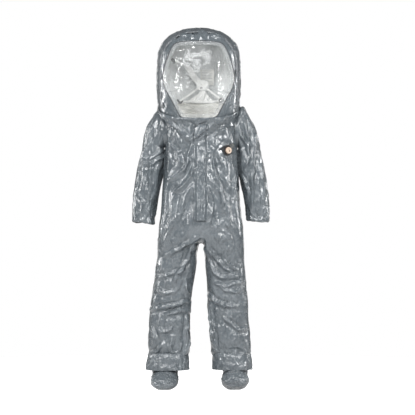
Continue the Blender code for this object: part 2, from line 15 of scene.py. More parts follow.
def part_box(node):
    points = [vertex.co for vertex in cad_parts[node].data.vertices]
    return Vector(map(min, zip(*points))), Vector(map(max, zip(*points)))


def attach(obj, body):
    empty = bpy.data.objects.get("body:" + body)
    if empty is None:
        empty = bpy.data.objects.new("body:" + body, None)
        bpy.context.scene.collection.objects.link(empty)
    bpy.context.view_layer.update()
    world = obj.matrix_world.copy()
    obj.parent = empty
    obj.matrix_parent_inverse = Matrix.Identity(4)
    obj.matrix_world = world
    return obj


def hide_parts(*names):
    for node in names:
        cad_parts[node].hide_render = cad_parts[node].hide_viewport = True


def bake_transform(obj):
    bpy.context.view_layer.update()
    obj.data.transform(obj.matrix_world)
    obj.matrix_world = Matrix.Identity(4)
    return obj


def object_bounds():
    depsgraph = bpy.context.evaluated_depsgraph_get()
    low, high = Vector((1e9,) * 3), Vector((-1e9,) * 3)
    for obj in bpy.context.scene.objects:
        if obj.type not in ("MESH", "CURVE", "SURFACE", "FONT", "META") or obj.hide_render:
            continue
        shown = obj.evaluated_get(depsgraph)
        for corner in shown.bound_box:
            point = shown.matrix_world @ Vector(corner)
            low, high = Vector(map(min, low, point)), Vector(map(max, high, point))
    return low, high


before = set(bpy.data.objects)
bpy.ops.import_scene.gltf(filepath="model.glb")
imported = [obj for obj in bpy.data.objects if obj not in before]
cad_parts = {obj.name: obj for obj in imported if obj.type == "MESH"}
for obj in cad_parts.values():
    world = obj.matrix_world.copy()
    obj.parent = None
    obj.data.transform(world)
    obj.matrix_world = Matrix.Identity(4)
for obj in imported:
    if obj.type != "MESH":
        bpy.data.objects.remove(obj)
CAD_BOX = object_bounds()
SOLE = CAD_BOX[0][2]
MATERIALS = {}

# ---------------------------------------------------------------- sizes, in metres above the soles
TRUNK_HALF_SIDES = 80     # cells round each half of the trunk, which go on down the outside of a leg
INSEAM_SIDES = 48         # cells round the inside of a leg
SLEEVE_SIDES = 112
CELL = 0.0075             # height of a cell before subdivision
NECK_TILT = 24.0
NECK_SLOPE = math.tan(math.radians(NECK_TILT))
ARMHOLE_X, ARMHOLE_Z, ARMHOLE_R = 0.193, 1.358, 0.0905
CROTCH_Z = 0.779
HIP_SPLIT_Z = 0.880
THIGH_SPLIT_Z = 0.640
CUFF_HEM_Z = 0.877
SIDES = (("left", 1), ("right", -1))

# height at the sides, half width, front y, back y, tilt of the section in degrees
TRUNK = [
    (1.504, 0.2155, -0.1980, 0.2065, 24.0),
    (1.497, 0.2150, -0.1955, 0.2050, 24.0),
    (1.485, 0.2140, -0.1800, 0.1960, 23.0),
    (1.462, 0.2050, -0.1690, 0.1880, 21.0),
    (1.446, 0.1960, -0.1665, 0.1880, 19.0),
    (1.430, 0.190, -0.1665, 0.190, 17.0),
    (1.390, 0.188, -0.1665, 0.195, 9.0),
    (1.330, 0.188, -0.1670, 0.200, 3.0),
    (1.270, 0.188, -0.1688, 0.200, 0.0),
    (1.200, 0.187, -0.1709, 0.195, 0.0),
    (1.100, 0.192, -0.1739, 0.185, 0.0),
    (1.000, 0.201, -0.1769, 0.175, 0.0),
    (0.920, 0.210, -0.1793, 0.170, 0.0),
    (0.870, 0.220, -0.1805, 0.166, 0.0),
    (0.812, 0.225, -0.1720, 0.155, 0.0),
]
HOOD = [
    (1.494, 0.215, -0.192, 0.202, 24.0),
    (1.504, 0.216, -0.195, 0.204, 24.0),
    (1.550, 0.219, -0.202, 0.214, 20.0),
    (1.600, 0.220, -0.206, 0.225, 13.0),
    (1.660, 0.220, -0.206, 0.230, 7.0),
    (1.720, 0.218, -0.201, 0.225, 3.0),
    (1.770, 0.212, -0.193, 0.215, 0.0),
    (1.810, 0.196, -0.179, 0.196, 0.0),
    (1.842, 0.165, -0.151, 0.166, 0.0),
    (1.867, 0.127, -0.117, 0.126, 0.0),
    (1.885, 0.077, -0.071, 0.076, 0.0),
    (1.893, 0.030, -0.028, 0.030, 0.0),
    (1.895, 0.004, -0.004, 0.004, 0.0),
]
# height, inner x, outer x, half depth, for the leg on each side
LEG = {
    1: [(0.700, 0.020, 0.228, 0.122), (0.600, 0.030, 0.236, 0.113), (0.557, 0.033, 0.240, 0.109),
        (0.480, 0.038, 0.246, 0.104), (0.403, 0.040, 0.250, 0.100), (0.310, 0.046, 0.258, 0.097),
        (0.205, 0.054, 0.264, 0.092), (0.160, 0.070, 0.256, 0.084), (0.125, 0.084, 0.250, 0.076)],
    -1: [(0.700, 0.023, 0.232, 0.122), (0.600, 0.037, 0.244, 0.113), (0.557, 0.044, 0.251, 0.109),
         (0.480, 0.052, 0.260, 0.104), (0.403, 0.056, 0.268, 0.100), (0.310, 0.058, 0.276, 0.097),
         (0.205, 0.062, 0.280, 0.092), (0.160, 0.078, 0.268, 0.084), (0.125, 0.092, 0.258, 0.076)],
}
# height, inner x, outer x, half depth of the splash flap on each side
BOOT_FLAP = {
    1: [(0.196, 0.0660, 0.2560, 0.0830), (0.183, 0.0610, 0.2620, 0.0895), (0.165, 0.0595, 0.2655, 0.0925),
        (0.135, 0.0590, 0.2680, 0.0960), (0.107, 0.0610, 0.2690, 0.0990)],
    -1: [(0.196, 0.0730, 0.2720, 0.0830), (0.183, 0.0670, 0.2775, 0.0895), (0.165, 0.0635, 0.2810, 0.0925),
         (0.135, 0.0630, 0.2880, 0.0960), (0.105, 0.0640, 0.2900, 0.0990)],
}
# the sleeve cap fans round the armpit: angle of the section in degrees, width, half depth
SLEEVE_CAP = [(0.0, 0.204, 0.0915), (5.0, 0.219, 0.091), (10.0, 0.214, 0.0905), (13.0, 0.205, 0.090),
              (20.0, 0.183, 0.088), (27.0, 0.167, 0.085), (47.0, 0.136, 0.079), (72.0, 0.118, 0.076)]
SLEEVE = [
    (1.2735, 0.188, 0.312, 0.075), (1.220, 0.184, 0.326, 0.076), (1.163, 0.189, 0.338, 0.074),
    (1.130, 0.198, 0.344, 0.071), (1.100, 0.207, 0.348, 0.069), (1.027, 0.223, 0.357, 0.066),
    (0.970, 0.233, 0.361, 0.063),
    (0.925, 0.238, 0.362, 0.058), (0.905, 0.243, 0.360, 0.056), (0.888, 0.241, 0.361, 0.058),
    (0.881, 0.243, 0.358, 0.056), (0.878, 0.250, 0.351, 0.050),
]
FLAP_TOP, FLAP_LENGTH, FLAP_HALF = 1.378, 0.500, 0.036
HOOD_LEAN = -0.012        # how far the hood stands to one side
PORT = (0.136, 1.249)     # x and height of the air line port on the chest
VALVE = (0.100, 1.300)    # the same for each exhaust valve on the back
# the lower edge of the loose cloth under the visor: left end, lowest point, right end
BIB = [(-0.195, 1.425), (-0.055, 1.288), (0.170, 1.450)]
# the seam round the hood's face panel, from the crown down one side: x, height
FACE_SEAM = [(0.000, 1.873), (0.060, 1.869), (0.110, 1.851), (0.150, 1.822), (0.180, 1.783), (0.197, 1.730),
             (0.203, 1.660), (0.203, 1.580), (0.200, 1.510), (0.190, 1.470)]
# visor outline from the bottom edge up one side: half width, height
VISOR = [
    (0.000, 1.417), (0.060, 1.417), (0.090, 1.421), (0.105, 1.446), (0.137, 1.508), (0.158, 1.545),
    (0.174, 1.573), (0.1825, 1.608), (0.1840, 1.635), (0.179, 1.668), (0.169, 1.704), (0.155, 1.742),
    (0.137, 1.781), (0.122, 1.798), (0.100, 1.806), (0.060, 1.810), (0.000, 1.811),
]
INSTEP = (-0.055, 0.1084)  # y and height of the point that the sock boot's sections fan round
BOOTIE_CENTRE = {1: 0.178, -1: -0.190}
TOE_LIFT = {1: 0.026, -1: 0.014}
# angle of the section in degrees, length, half width
BOOTIE_FAN = [(-30.0, 0.132, 0.064), (0.0, 0.132, 0.064), (22.0, 0.146, 0.065), (42.0, 0.157, 0.066),
              (62.0, 0.126, 0.067), (80.0, 0.111, 0.068)]
# y, top, bottom, half width
BOOTIE_TOE = [(-0.085, 0.099, 0.000, 0.069), (-0.130, 0.086, 0.000, 0.070), (-0.170, 0.070, 0.000, 0.065),
              (-0.196, 0.052, 0.003, 0.050), (-0.207, 0.038, 0.010, 0.030), (-0.210, 0.030, 0.018, 0.008)]


# ---------------------------------------------------------------- number helpers
def table_at(table, z):
    """The table's columns at heights z, by smooth interpolation; returns one array per column after the first."""
    rows = np.array(sorted(table), float)
    return [np.interp(z, rows[:, 0], rows[:, column]) for column in range(1, rows.shape[1])]


def smoothstep(low, high, value):
    t = np.clip((value - low) / (high - low), 0.0, 1.0)
    return t * t * (3.0 - 2.0 * t)


def resample(points, count, closed=False):
    """The polyline's points spaced evenly: count cells along it."""
    points = np.asarray(points, float)
    if closed:
        points = np.vstack([points, points[:1]])
    length = np.concatenate([[0.0], np.cumsum(np.linalg.norm(np.diff(points, axis=0), axis=1))])
    places = np.linspace(0.0, length[-1], count + 1)
    if closed:
        places = places[:-1]
    return np.stack([np.interp(places, length, points[:, axis]) for axis in range(points.shape[1])], axis=1)


def oval(half_a, half_b, square, start, turn, steps=181):
    """Points of a superellipse from the start angle through turn, in radians; columns are a and b."""
    angle = np.linspace(start, start + turn, steps)
    power = 2.0 / square
    a = np.sign(np.cos(angle)) * np.abs(np.cos(angle)) ** power * half_a
    b = np.sign(np.sin(angle)) * np.abs(np.sin(angle)) ** power * half_b
    return np.stack([a, b], axis=1)


def random_gradients(cells, seed):
    """A unit vector for each whole-number cell, the same on every run."""
    mixed = (cells[:, 0] * 73856093) ^ (cells[:, 1] * 19349663) ^ (cells[:, 2] * 83492791) ^ (seed * 2654435761)
    mixed = (mixed ^ (mixed >> 13)) * 1274126177 & 0xFFFFFFFF
    angle = (mixed & 0xFFFF) / 65536.0 * 2.0 * math.pi
    height = ((mixed >> 16) & 0xFFFF) / 32768.0 - 1.0
    level = np.sqrt(np.maximum(0.0, 1.0 - height * height))
    return np.stack([level * np.cos(angle), level * np.sin(angle), height], axis=1)


def noise(points, seed):
    """Gradient noise, about -1 to 1, at points given in cells."""
    base = np.floor(points).astype(np.int64)
    part = points - base
    fade = part * part * part * (part * (part * 6.0 - 15.0) + 10.0)
    total = np.zeros(len(points))
    for corner in itertools.product((0, 1), repeat=3):
        step = np.array(corner)
        weight = np.prod(np.where(step == 1, fade, 1.0 - fade), axis=1)
        total += weight * np.einsum("ij,ij->i", random_gradients(base + step, seed), part - step)
    return total * 1.6


def creased(points, scale, seed):
    """Sharp-edged folds: high on thin crests, low in broad valleys, about 0 to 1."""
    cells = points / np.asarray(scale)
    bent = cells + 0.55 * np.stack([noise(cells * 0.7 + 11.0 * axis, seed + axis) for axis in (1, 2, 3)], axis=1)
    return 1.0 - np.abs(noise(bent, seed + 7)) * 1.9


def crumpled(points):
    """1 inside the crumpled patches of the front, 0 away from them."""
    total = np.zeros(len(points))
    for x, z, half_width, half_height in np.array(CRUMPLES) / 1000:
        reach = np.hypot((points[:, 0] - x) / half_width, (points[:, 2] - z) / half_height)
        total = np.maximum(total, smoothstep(1.25, 0.55, reach))
    return total


def crinkle(points, amount, grain=(0.05, 0.05, 0.14), seed=1):
    """Crumpled film: three sizes of creases, longer than they are wide."""
    grain = np.asarray(grain)
    total = 1.00 * (creased(points, grain, seed) - 0.5)
    total += 0.50 * (creased(points, grain * 0.46, seed + 20) - 0.5)
    total += 0.22 * (creased(points, grain * 0.22, seed + 40) - 0.5)
    patchy = 0.55 + 0.75 * noise(points / 0.13, seed + 60)
    return amount * total * np.clip(patchy, 0.15, 1.3)


# ---------------------------------------------------------------- folds
def from_millimetres(rows):
    """Folds as (path, half width, height) in metres."""
    return [(np.reshape(row[2:], (-1, 2)) / 1000, row[0] / 1000, row[1] / 1000) for row in rows]


# each fold in millimetres: half width, how far it stands out, then its path in the front view as x and height in turn
FRONT_FOLDS = from_millimetres([
    # the loose cloth that hangs in a V under the visor
    (12, 12, -20, 1425, -35, 1370, -47, 1300), (11, 7, -170, 1415, -120, 1370, -70, 1305),
    (10, 7, -120, 1415, -95, 1370, -60, 1320), (10, 6, 40, 1415, 60, 1385, 40, 1350, 0, 1320),
    (10, 7, 110, 1420, 80, 1380, 30, 1330, -30, 1300),
    # pulls across the chest and the waist
    (14, 10, -157, 1289, -124, 1245, -111, 1192, -130, 1150, -158, 1110),
    (13, 11, -47, 1300, -61, 1249, -70, 1200, -83, 1158, -120, 1125, -160, 1100),
    (14, 10, -27, 1158, -49, 1118, -89, 1072, -138, 1038, -146, 953, -169, 839), (13, 7, 56, 1250, 66, 1190, 60, 1140),
    (13, 9, 62, 1200, 75, 1130, 100, 1060, 112, 990, 118, 930), (12, 8, 178, 1150, 170, 1080, 178, 1000, 182, 920),
    (12, 9, 45, 860, 60, 930, 56, 1000, 40, 1060), (14, 6, -90, 1000, -105, 930, -100, 860),
    (13, 7, 130, 990, 150, 920, 140, 860), (12, 8, -182, 795, -160, 845, -150, 890),
    # pulls from the crotch out to the thighs
    (13, 10, -9, 809, -60, 784, -126, 748, -182, 711), (13, 11, -37, 762, -71, 711, -104, 644, -138, 588),
    (12, 11, 24, 762, 52, 695, 74, 628, 102, 603, 180, 602), (11, 9, 30, 756, 80, 700, 130, 650, 180, 606),
    (10, 6, 102, 700, 145, 665, 185, 640), (10, 7, 63, 856, 130, 840, 158, 806),
    # knees
    (10, 8, -238, 600, -188, 608, -126, 625, -80, 648), (12, 7, -225, 530, -180, 520, -130, 535),
    (11, 10, -272, 432, -227, 438, -177, 449, -115, 460, -60, 477), (11, 9, -188, 404, -154, 415, -110, 427, -60, 421),
    (11, 9, -76, 588, -84, 540, -62, 500), (10, 8, 80, 572, 130, 558, 186, 572, 231, 575),
    (10, 8, 91, 566, 130, 533, 186, 527, 220, 538), (11, 9, 41, 510, 74, 477, 130, 455, 192, 449),
    # creases down the legs
    (11, 7, -212, 330, -180, 322, -150, 330), (11, 8, -255, 330, -240, 290, -252, 260),
    (11, 8, -285, 190, -232, 215, -205, 254), (10, 8, -70, 404, -72, 330, -68, 250, -85, 190),
    (14, 6, -215, 400, -222, 350, -205, 300), (14, 5, -150, 290, -160, 240, -145, 200),
    (10, 9, 119, 388, 164, 360, 197, 326, 247, 337), (10, 9, 47, 460, 58, 360, 69, 276, 75, 210),
    (11, 6, 215, 240, 235, 200, 210, 185),
])
# the elbow pulls and the upright creases of each sleeve
SLEEVE_FOLDS = from_millimetres([
    (10, 9, -305, 1215, -271, 1209, -225, 1240, -180, 1275), (10, 9, -300, 1185, -265, 1185, -222, 1212, -182, 1245),
    (12, 9, -235, 1420, -262, 1350, -299, 1230, -305, 1112, -318, 1020), (13, 9, -262, 1190, -275, 1130, -270, 1060),
    (11, 7, -330, 1050, -310, 995, -315, 920), (11, 7, -280, 1050, -265, 990, -275, 930),
    (11, 6, -240, 1380, -245, 1320, -265, 1280), (11, 10, 178, 1402, 206, 1334, 252, 1277, 258, 1220, 229, 1158),
    (11, 8, 218, 1408, 245, 1340, 269, 1277), (11, 10, 290, 1360, 286, 1317, 275, 1192, 269, 1010, 266, 940),
    (11, 7, 318, 1180, 325, 1090, 335, 990), (10, 6, 215, 1130, 240, 1080, 252, 1020),
])
# folds of the visor's film
VISOR_FOLDS = from_millimetres([
    (10, 4, -155, 1560, -172, 1640, -165, 1720, -135, 1785), (8, 1.8, -125, 1795, -60, 1800, 40, 1804),
    (8, 2.2, -45, 1778, -5, 1760), (10, 2, -115, 1760, -80, 1700, -45, 1660),
    (9, 2.6, 165, 1700, 160, 1620, 140, 1560), (9, 3, -130, 1600, -110, 1550),
])
# patches of the front where the film is crumpled small, in millimetres: x, height, half width, half height
CRUMPLES = [
    (112, 1080, 62, 130), (40, 1255, 30, 50), (-110, 1370, 80, 55), (60, 1365, 70, 55), (-130, 1130, 50, 45),
    (-105, 672, 65, 35), (150, 705, 50, 70), (-130, 450, 100, 30), (120, 835, 70, 35), (-255, 470, 25, 50),
    (165, 210, 52, 26), (165, 540, 60, 30), (140, 460, 70, 25), (-90, 210, 50, 30), (-220, 200, 50, 30),
    (-80, 560, 25, 50), (-90, 900, 60, 50), (70, 900, 50, 60),
]


def path_distance(flat, path):
    """Distance of each (x, z) point from a polyline, and how far along it the nearest place is, 0 to 1."""
    path = np.asarray(path, float)
    near = np.full(len(flat), 1e9)
    place = np.zeros(len(flat))
    pieces = len(path) - 1
    for number in range(pieces):
        start, run = path[number], path[number + 1] - path[number]
        share = np.clip((flat - start) @ run / (run @ run), 0.0, 1.0)
        distance = np.linalg.norm(flat - start - share[:, None] * run, axis=1)
        closer = distance < near
        near = np.where(closer, distance, near)
        place = np.where(closer, (number + share) / pieces, place)
    return near, place


def fold_height(points, folds, front_share, narrow=0.9):
    """How far the folds push each point out: a tent-like crest with a shallow valley on each side."""
    flat = points[:, [0, 2]] + 0.006 * np.stack([noise(points / 0.04, 81), noise(points / 0.04, 82)], axis=1)
    total = np.zeros(len(points))
    for path, half_width, height in folds:
        distance, place = path_distance(flat, path)
        taper = np.sin(math.pi * np.clip(0.06 + 0.88 * place, 0.0, 1.0)) ** 0.6
        t = distance / (half_width * narrow)
        crest = np.exp(-1.5 * t) * 1.15 - 0.42 * np.exp(-((t - 1.7) / 0.9) ** 2)
        total += 1.25 * height * taper * crest
    return total * front_share


# ---------------------------------------------------------------- sections
def tilted(row_z, half, front, back, tilt, square, count_half):
    """Both halves of a trunk section, each from the front centre to the back centre."""
    slope = math.tan(math.radians(tilt))
    middle, depth = (front + back) / 2.0, (back - front) / 2.0
    halves = []
    for side in (1, -1):
        flat = oval(half, depth, square, -math.pi / 2.0, math.pi)
        flat = resample(flat, count_half)
        x, y = side * flat[:, 0], middle + flat[:, 1]
        halves.append(np.stack([x, y, row_z + y * slope], axis=1))
    return halves


def closed_ring(halves):
    """One ring out of a left half and a right half that share their first and last points."""
    left, right = halves
    return np.vstack([left, right[-2:0:-1]])


def trunk_grid(table, square, cell, count_half):
    low, *_, high = sorted(row[0] for row in table)
    heights = np.linspace(high, low, max(2, int(round((high - low) / cell)) + 1))
    half, front, back, tilt = table_at(table, heights)
    rings = [closed_ring(tilted(*row, square, count_half)) for row in zip(heights, half, front, back, tilt)]
    return np.array(rings)


def crotch_line(left_half, count):
    """The line between the legs, from the front centre down and back up to the back centre."""
    start, end = left_half[0], left_half[-1]
    t = np.linspace(0.0, 1.0, count + 1)
    y = start[1] + (end[1] - start[1]) * t
    dip = np.sin(math.pi * t) ** 0.55
    z = (start[2] + (end[2] - start[2]) * t) * (1.0 - dip) + CROTCH_Z * dip
    return resample(np.stack([np.zeros(count + 1), y, z], axis=1), count)


def leg_section(side, z, inner, outer, depth):
    """A leg's ring: the outer part from front to back, then the inner part back to the front."""
    start = math.radians(-135.0)
    outside = resample(oval(1.0, 1.0, 2.3, start, math.radians(270.0)), TRUNK_HALF_SIDES)
    inside = resample(oval(1.0, 1.0, 2.3, start + math.radians(270.0), math.radians(90.0)), INSEAM_SIDES)
    flat = np.vstack([outside, inside[1:-1]])
    x = side * ((inner + outer) / 2.0 + flat[:, 0] * (outer - inner) / 2.0)
    return np.stack([x, flat[:, 1] * depth, np.full(len(flat), z)], axis=1)


def leg_grid(side, outer_half):
    """Rings from the crotch down to the ankle; the first is half of the trunk's last ring and the crotch line."""
    inner = crotch_line(outer_half, INSEAM_SIDES)
    first = np.vstack([outer_half, inner[-2:0:-1]])
    top_z, top_inner, top_outer, top_depth = LEG[side][0]
    target = leg_section(side, top_z, top_inner, top_outer, top_depth)
    rings = [first]
    steps = 15
    for step in range(1, steps + 1):
        t = step / steps
        ring = first * (1.0 - t) + target * t
        spread = t ** 0.22
        ring[:, 0] = first[:, 0] * (1.0 - spread) + target[:, 0] * spread
        rings.append(ring)
    low = LEG[side][-1][0]
    heights = np.linspace(top_z, low, int((top_z - low) / CELL) + 1)[1:]
    for row in zip(heights, *table_at(LEG[side], heights)):
        rings.append(leg_section(side, *row))
    return np.array(rings)


# ---------------------------------------------------------------- meshes
def linked(name, data):
    made = bpy.data.objects.new(name, data)
    bpy.context.scene.collection.objects.link(made)
    return made


def object_from(name, points, faces, material, smooth=True, lift=SOLE):
    """A mesh object; points in heights above the soles unless lift is 0."""
    mesh = bpy.data.meshes.new(name)
    mesh.from_pydata((np.asarray(points, float).reshape(-1, 3) + (0.0, 0.0, lift)).tolist(), [], faces)
    mesh.validate()
    if material:
        mesh.materials.append(MATERIALS[material])
    if smooth:
        mesh.shade_smooth()
    return linked(name, mesh)


def ring_faces(count_rings, count_sides, first=0, closed=True):
    faces = []
    last = count_sides if closed else count_sides - 1
    for ring in range(count_rings - 1):
        for here in range(last):
            after = (here + 1) % count_sides
            a = first + ring * count_sides
            faces.append((a + here, a + count_sides + here, a + count_sides + after, a + after))
    return faces


def outward(made, weld=False):
    """Turns the faces outwards, and joins the points that coincide if asked."""
    work = bmesh.new()
    work.from_mesh(made.data)
    if weld:
        bmesh.ops.remove_doubles(work, verts=work.verts, dist=1e-6)
    bmesh.ops.recalc_face_normals(work, faces=work.faces)
    work.to_mesh(made.data)
    work.free()


def surface_from(name, rows, material, closed=True, capped=False):
    """An object out of rows of points, with a face over the last row if it is capped."""
    rows = np.array(rows)
    count, sides = rows.shape[:2]
    faces = ring_faces(count, sides, closed=closed)
    if capped:
        faces.append(tuple(range((count - 1) * sides, count * sides)))
    made = object_from(name, rows, faces, material)
    outward(made)
    return made


def coordinates(made, kind="co"):
    data = np.empty(len(made.data.vertices) * 3)
    made.data.vertices.foreach_get(kind, data)
    return data.reshape(-1, 3)


def vertex_normals(made):
    return coordinates(made, "normal")


def above_soles(made):
    return coordinates(made) - (0.0, 0.0, SOLE)


def set_coordinates(made, points):
    made.data.vertices.foreach_set("co", np.asarray(points, float).ravel())
    made.data.update()


def pushed(made, depth):
    """Moves each point along its normal."""
    set_coordinates(made, coordinates(made) + vertex_normals(made) * depth[:, None])


def applied(made):
    """Applies the object's modifiers to its mesh."""
    graph = bpy.context.evaluated_depsgraph_get()
    mesh = bpy.data.meshes.new_from_object(made.evaluated_get(graph))
    made.modifiers.clear()
    old = made.data
    made.data = mesh
    bpy.data.meshes.remove(old)


def subdivided(made):
    step = made.modifiers.new("Subdivision", "SUBSURF")
    step.levels = step.render_levels = 1
    applied(made)


def walled(made, thickness):
    made.modifiers.new("Wall", "SOLIDIFY").thickness = thickness
    applied(made)


def cut(made, cutters):
    for number, cutter in enumerate(cutters):
        step = made.modifiers.new(f"Cut {number}", "BOOLEAN")
        step.operation, step.solver, step.object = "DIFFERENCE", "EXACT", cutter
    applied(made)
    for cutter in cutters:
        bpy.data.objects.remove(cutter)


# the cloth's settings, in the order in which they are set
CLOTH = {
    "quality": 5, "mass": 0.25, "tension_stiffness": 25.0, "compression_stiffness": 25.0, "shear_stiffness": 12.0,
    "bending_stiffness": 0.8, "tension_damping": 20.0, "compression_damping": 20.0, "shear_damping": 15.0,
    "bending_damping": 1.0, "air_damping": 3.0, "shrink_min": -0.06, "shrink_max": -0.06,
    "vertex_group_mass": "pin", "pin_stiffness": 2.0,
}
CLOTH_FRAMES = 16


def buckled(made, pinned, cap):
    """Lets the cloth grow while its pinned points stay, so that it buckles into folds; cap limits the travel."""
    start = coordinates(made)
    made.vertex_groups.new(name="pin").add(np.nonzero(pinned)[0].tolist(), 1.0, "REPLACE")
    cloth = made.modifiers.new("Cloth", "CLOTH")
    for key, value in CLOTH.items():
        setattr(cloth.settings, key, value)
    cloth.settings.effector_weights.gravity = 0.15
    cloth.collision_settings.use_collision = False
    cloth.collision_settings.use_self_collision = False
    cloth.point_cache.frame_start, cloth.point_cache.frame_end = 1, CLOTH_FRAMES
    for number in range(1, CLOTH_FRAMES + 1):
        bpy.context.scene.frame_set(number)
    applied(made)
    moved = coordinates(made) - start
    length = np.linalg.norm(moved, axis=1, keepdims=True)
    set_coordinates(made, start + moved * (cap * np.tanh(length / cap) / np.maximum(length, 1e-9)))
    made.vertex_groups.clear()
    bpy.context.scene.frame_set(1)


def roughened(made, amount, seed, grain=(0.020, 0.020, 0.034), calm=1.0):
    """Small creases pushed into a finished mesh along its normals."""
    points = coordinates(made)
    fine = creased(points, np.array(grain) * 0.45, seed + 9) - 0.5
    depth = amount * (creased(points, grain, seed) - 0.5 + 0.5 * fine)
    patchy = np.clip(0.5 + 1.1 * noise(points / 0.09, seed + 3), 0.1, 1.4)
    pushed(made, depth * patchy * calm)


def keep_faces(made, name, keep):
    """A new object of the faces whose middle passes the keep test, with the whole mesh's normals."""
    copy = linked(name, made.data.copy())
    mesh = copy.data
    mesh.name = name
    middles = np.empty(len(mesh.polygons) * 3)
    mesh.polygons.foreach_get("center", middles)
    wanted = keep(*(middles.reshape(-1, 3) - (0.0, 0.0, SOLE)).T)
    normals = vertex_normals(made)
    work = bmesh.new()
    work.from_mesh(mesh)
    layer = work.verts.layers.float_vector.new("whole_normal")
    for vertex, normal in zip(work.verts, normals):
        vertex[layer] = normal
    work.faces.ensure_lookup_table()
    bmesh.ops.delete(work, geom=[work.faces[int(i)] for i in np.nonzero(~wanted)[0]], context="FACES")
    bmesh.ops.delete(work, geom=[vertex for vertex in work.verts if not vertex.link_faces], context="VERTS")
    work.to_mesh(mesh)
    work.free()
    kept = np.empty(len(mesh.vertices) * 3)
    mesh.attributes["whole_normal"].data.foreach_get("vector", kept)
    mesh.attributes.remove(mesh.attributes["whole_normal"])
    mesh.normals_split_custom_set_from_vertices(kept.reshape(-1, 3).tolist())
    return copy


# ---------------------------------------------------------------- materials
def new_material(name, colour, **inputs):
    """A material and its shader; inputs are the shader's, with _ for a space."""
    made = bpy.data.materials.new(name)
    made.use_nodes = True
    shader = made.node_tree.nodes["Principled BSDF"]
    shader.inputs["Base Color"].default_value = (*colour, 1.0)
    for key, value in inputs.items():
        shader.inputs[key.replace("_", " ")].default_value = value
    MATERIALS[name] = made
    return made, shader.inputs


def node(material, kind, **values):
    made = material.node_tree.nodes.new(kind)
    for key, value in values.items():
        if key in made.inputs:
            made.inputs[key].default_value = value
        else:
            setattr(made, key, value)
    return made


def link(material, source, target):
    material.node_tree.links.new(source, target)


def object_coordinates(material, stretch=(1.0, 1.0, 1.0)):
    place = node(material, "ShaderNodeTexCoord")
    scale = node(material, "ShaderNodeMapping", Scale=stretch)
    link(material, place.outputs["Object"], scale.inputs["Vector"])
    return scale.outputs["Vector"]


def clouds(material, place, output="Fac", **values):
    """The output of a noise texture at place."""
    made = node(material, "ShaderNodeTexNoise", **values)
    link(material, place, made.inputs["Vector"])
    return made.outputs[output]


def ramp(material, source, low, high, start, end, target):
    made = node(material, "ShaderNodeValToRGB")
    for element, colour, position in zip(made.color_ramp.elements, (low, high), (start, end)):
        element.position, element.color = position, (*colour, 1.0)
    link(material, source, made.inputs["Fac"])
    link(material, made.outputs["Color"], target)


def map_range(material, source, *limits):
    made = node(material, "ShaderNodeMapRange", **dict(zip(("From Min", "From Max", "To Min", "To Max"), limits)))
    link(material, source, made.inputs["Value"])
    return made.outputs["Result"]


def combined(material, operation, *sources):
    made = node(material, "ShaderNodeMath", operation=operation)
    for source, target in zip(sources, made.inputs):
        link(material, source, target)
    return made.outputs["Value"]


def bump(material, height, distance, strength, target):
    """Puts relief into target; the next bump of a chain goes into what it returns."""
    made = node(material, "ShaderNodeBump", Distance=distance, Strength=strength)
    link(material, height, made.inputs["Height"])
    link(material, made.outputs["Normal"], target)
    return made.inputs["Normal"]


def film_material(name, dark, light, roughness=(0.20, 0.34), coat=0.7, **inputs):
    """Glossy coated film: fine crumple lines, small pits of the laminate and faint cloudiness."""
    made, shader = new_material(name, light, Roughness=roughness[0], Specular_IOR_Level=0.6, Coat_Weight=coat,
                                Coat_Roughness=0.12, **inputs)
    place = object_coordinates(made)
    long_place = object_coordinates(made, (1.0, 1.0, 0.5))
    tint = clouds(made, place, Scale=7.0, Detail=5.0, Roughness=0.6)
    ramp(made, tint, dark, light, 0.34, 0.66, shader["Base Color"])
    scuffs = clouds(made, place, Scale=26.0, Detail=6.0, Roughness=0.65, Distortion=0.6)
    link(made, map_range(made, scuffs, 0.35, 0.65, *roughness), shader["Roughness"])
    bend = node(made, "ShaderNodeMixRGB", blend_type="LINEAR_LIGHT", Fac=0.05)
    link(made, long_place, bend.inputs["Color1"])
    link(made, clouds(made, long_place, "Color", Scale=14.0, Detail=3.0), bend.inputs["Color2"])
    creases = node(made, "ShaderNodeTexVoronoi", feature="DISTANCE_TO_EDGE", Scale=34.0)
    link(made, bend.outputs["Color"], creases.inputs["Vector"])
    patch = map_range(made, clouds(made, place, Scale=6.0, Detail=2.0), 0.46, 0.60, 0.12, 1.0)
    patchy = combined(made, "MULTIPLY", creases.outputs["Distance"], patch)
    soft = clouds(made, long_place, Scale=38.0, Detail=4.0, Roughness=0.5, Distortion=1.2)
    below = bump(made, clouds(made, place, Scale=900.0, Detail=2.0), 0.0001, 0.3, shader["Normal"])
    below = bump(made, soft, 0.0050, 0.8, below)
    bump(made, patchy, 0.0140, 0.8, below)


def plain_material(name, low, high, roughness, metallic=0.0):
    """Moulded or cast finishes: slight mottling of colour, a little grain in the surface."""
    made, shader = new_material(name, high, Roughness=roughness, Metallic=metallic)
    place = object_coordinates(made)
    mottle = clouds(made, place, Scale=60.0, Detail=6.0, Roughness=0.6)
    ramp(made, mottle, low, high, 0.3, 0.7, shader["Base Color"])
    bump(made, clouds(made, place, Scale=720.0, Detail=3.0), 0.0006, 0.5, shader["Normal"])


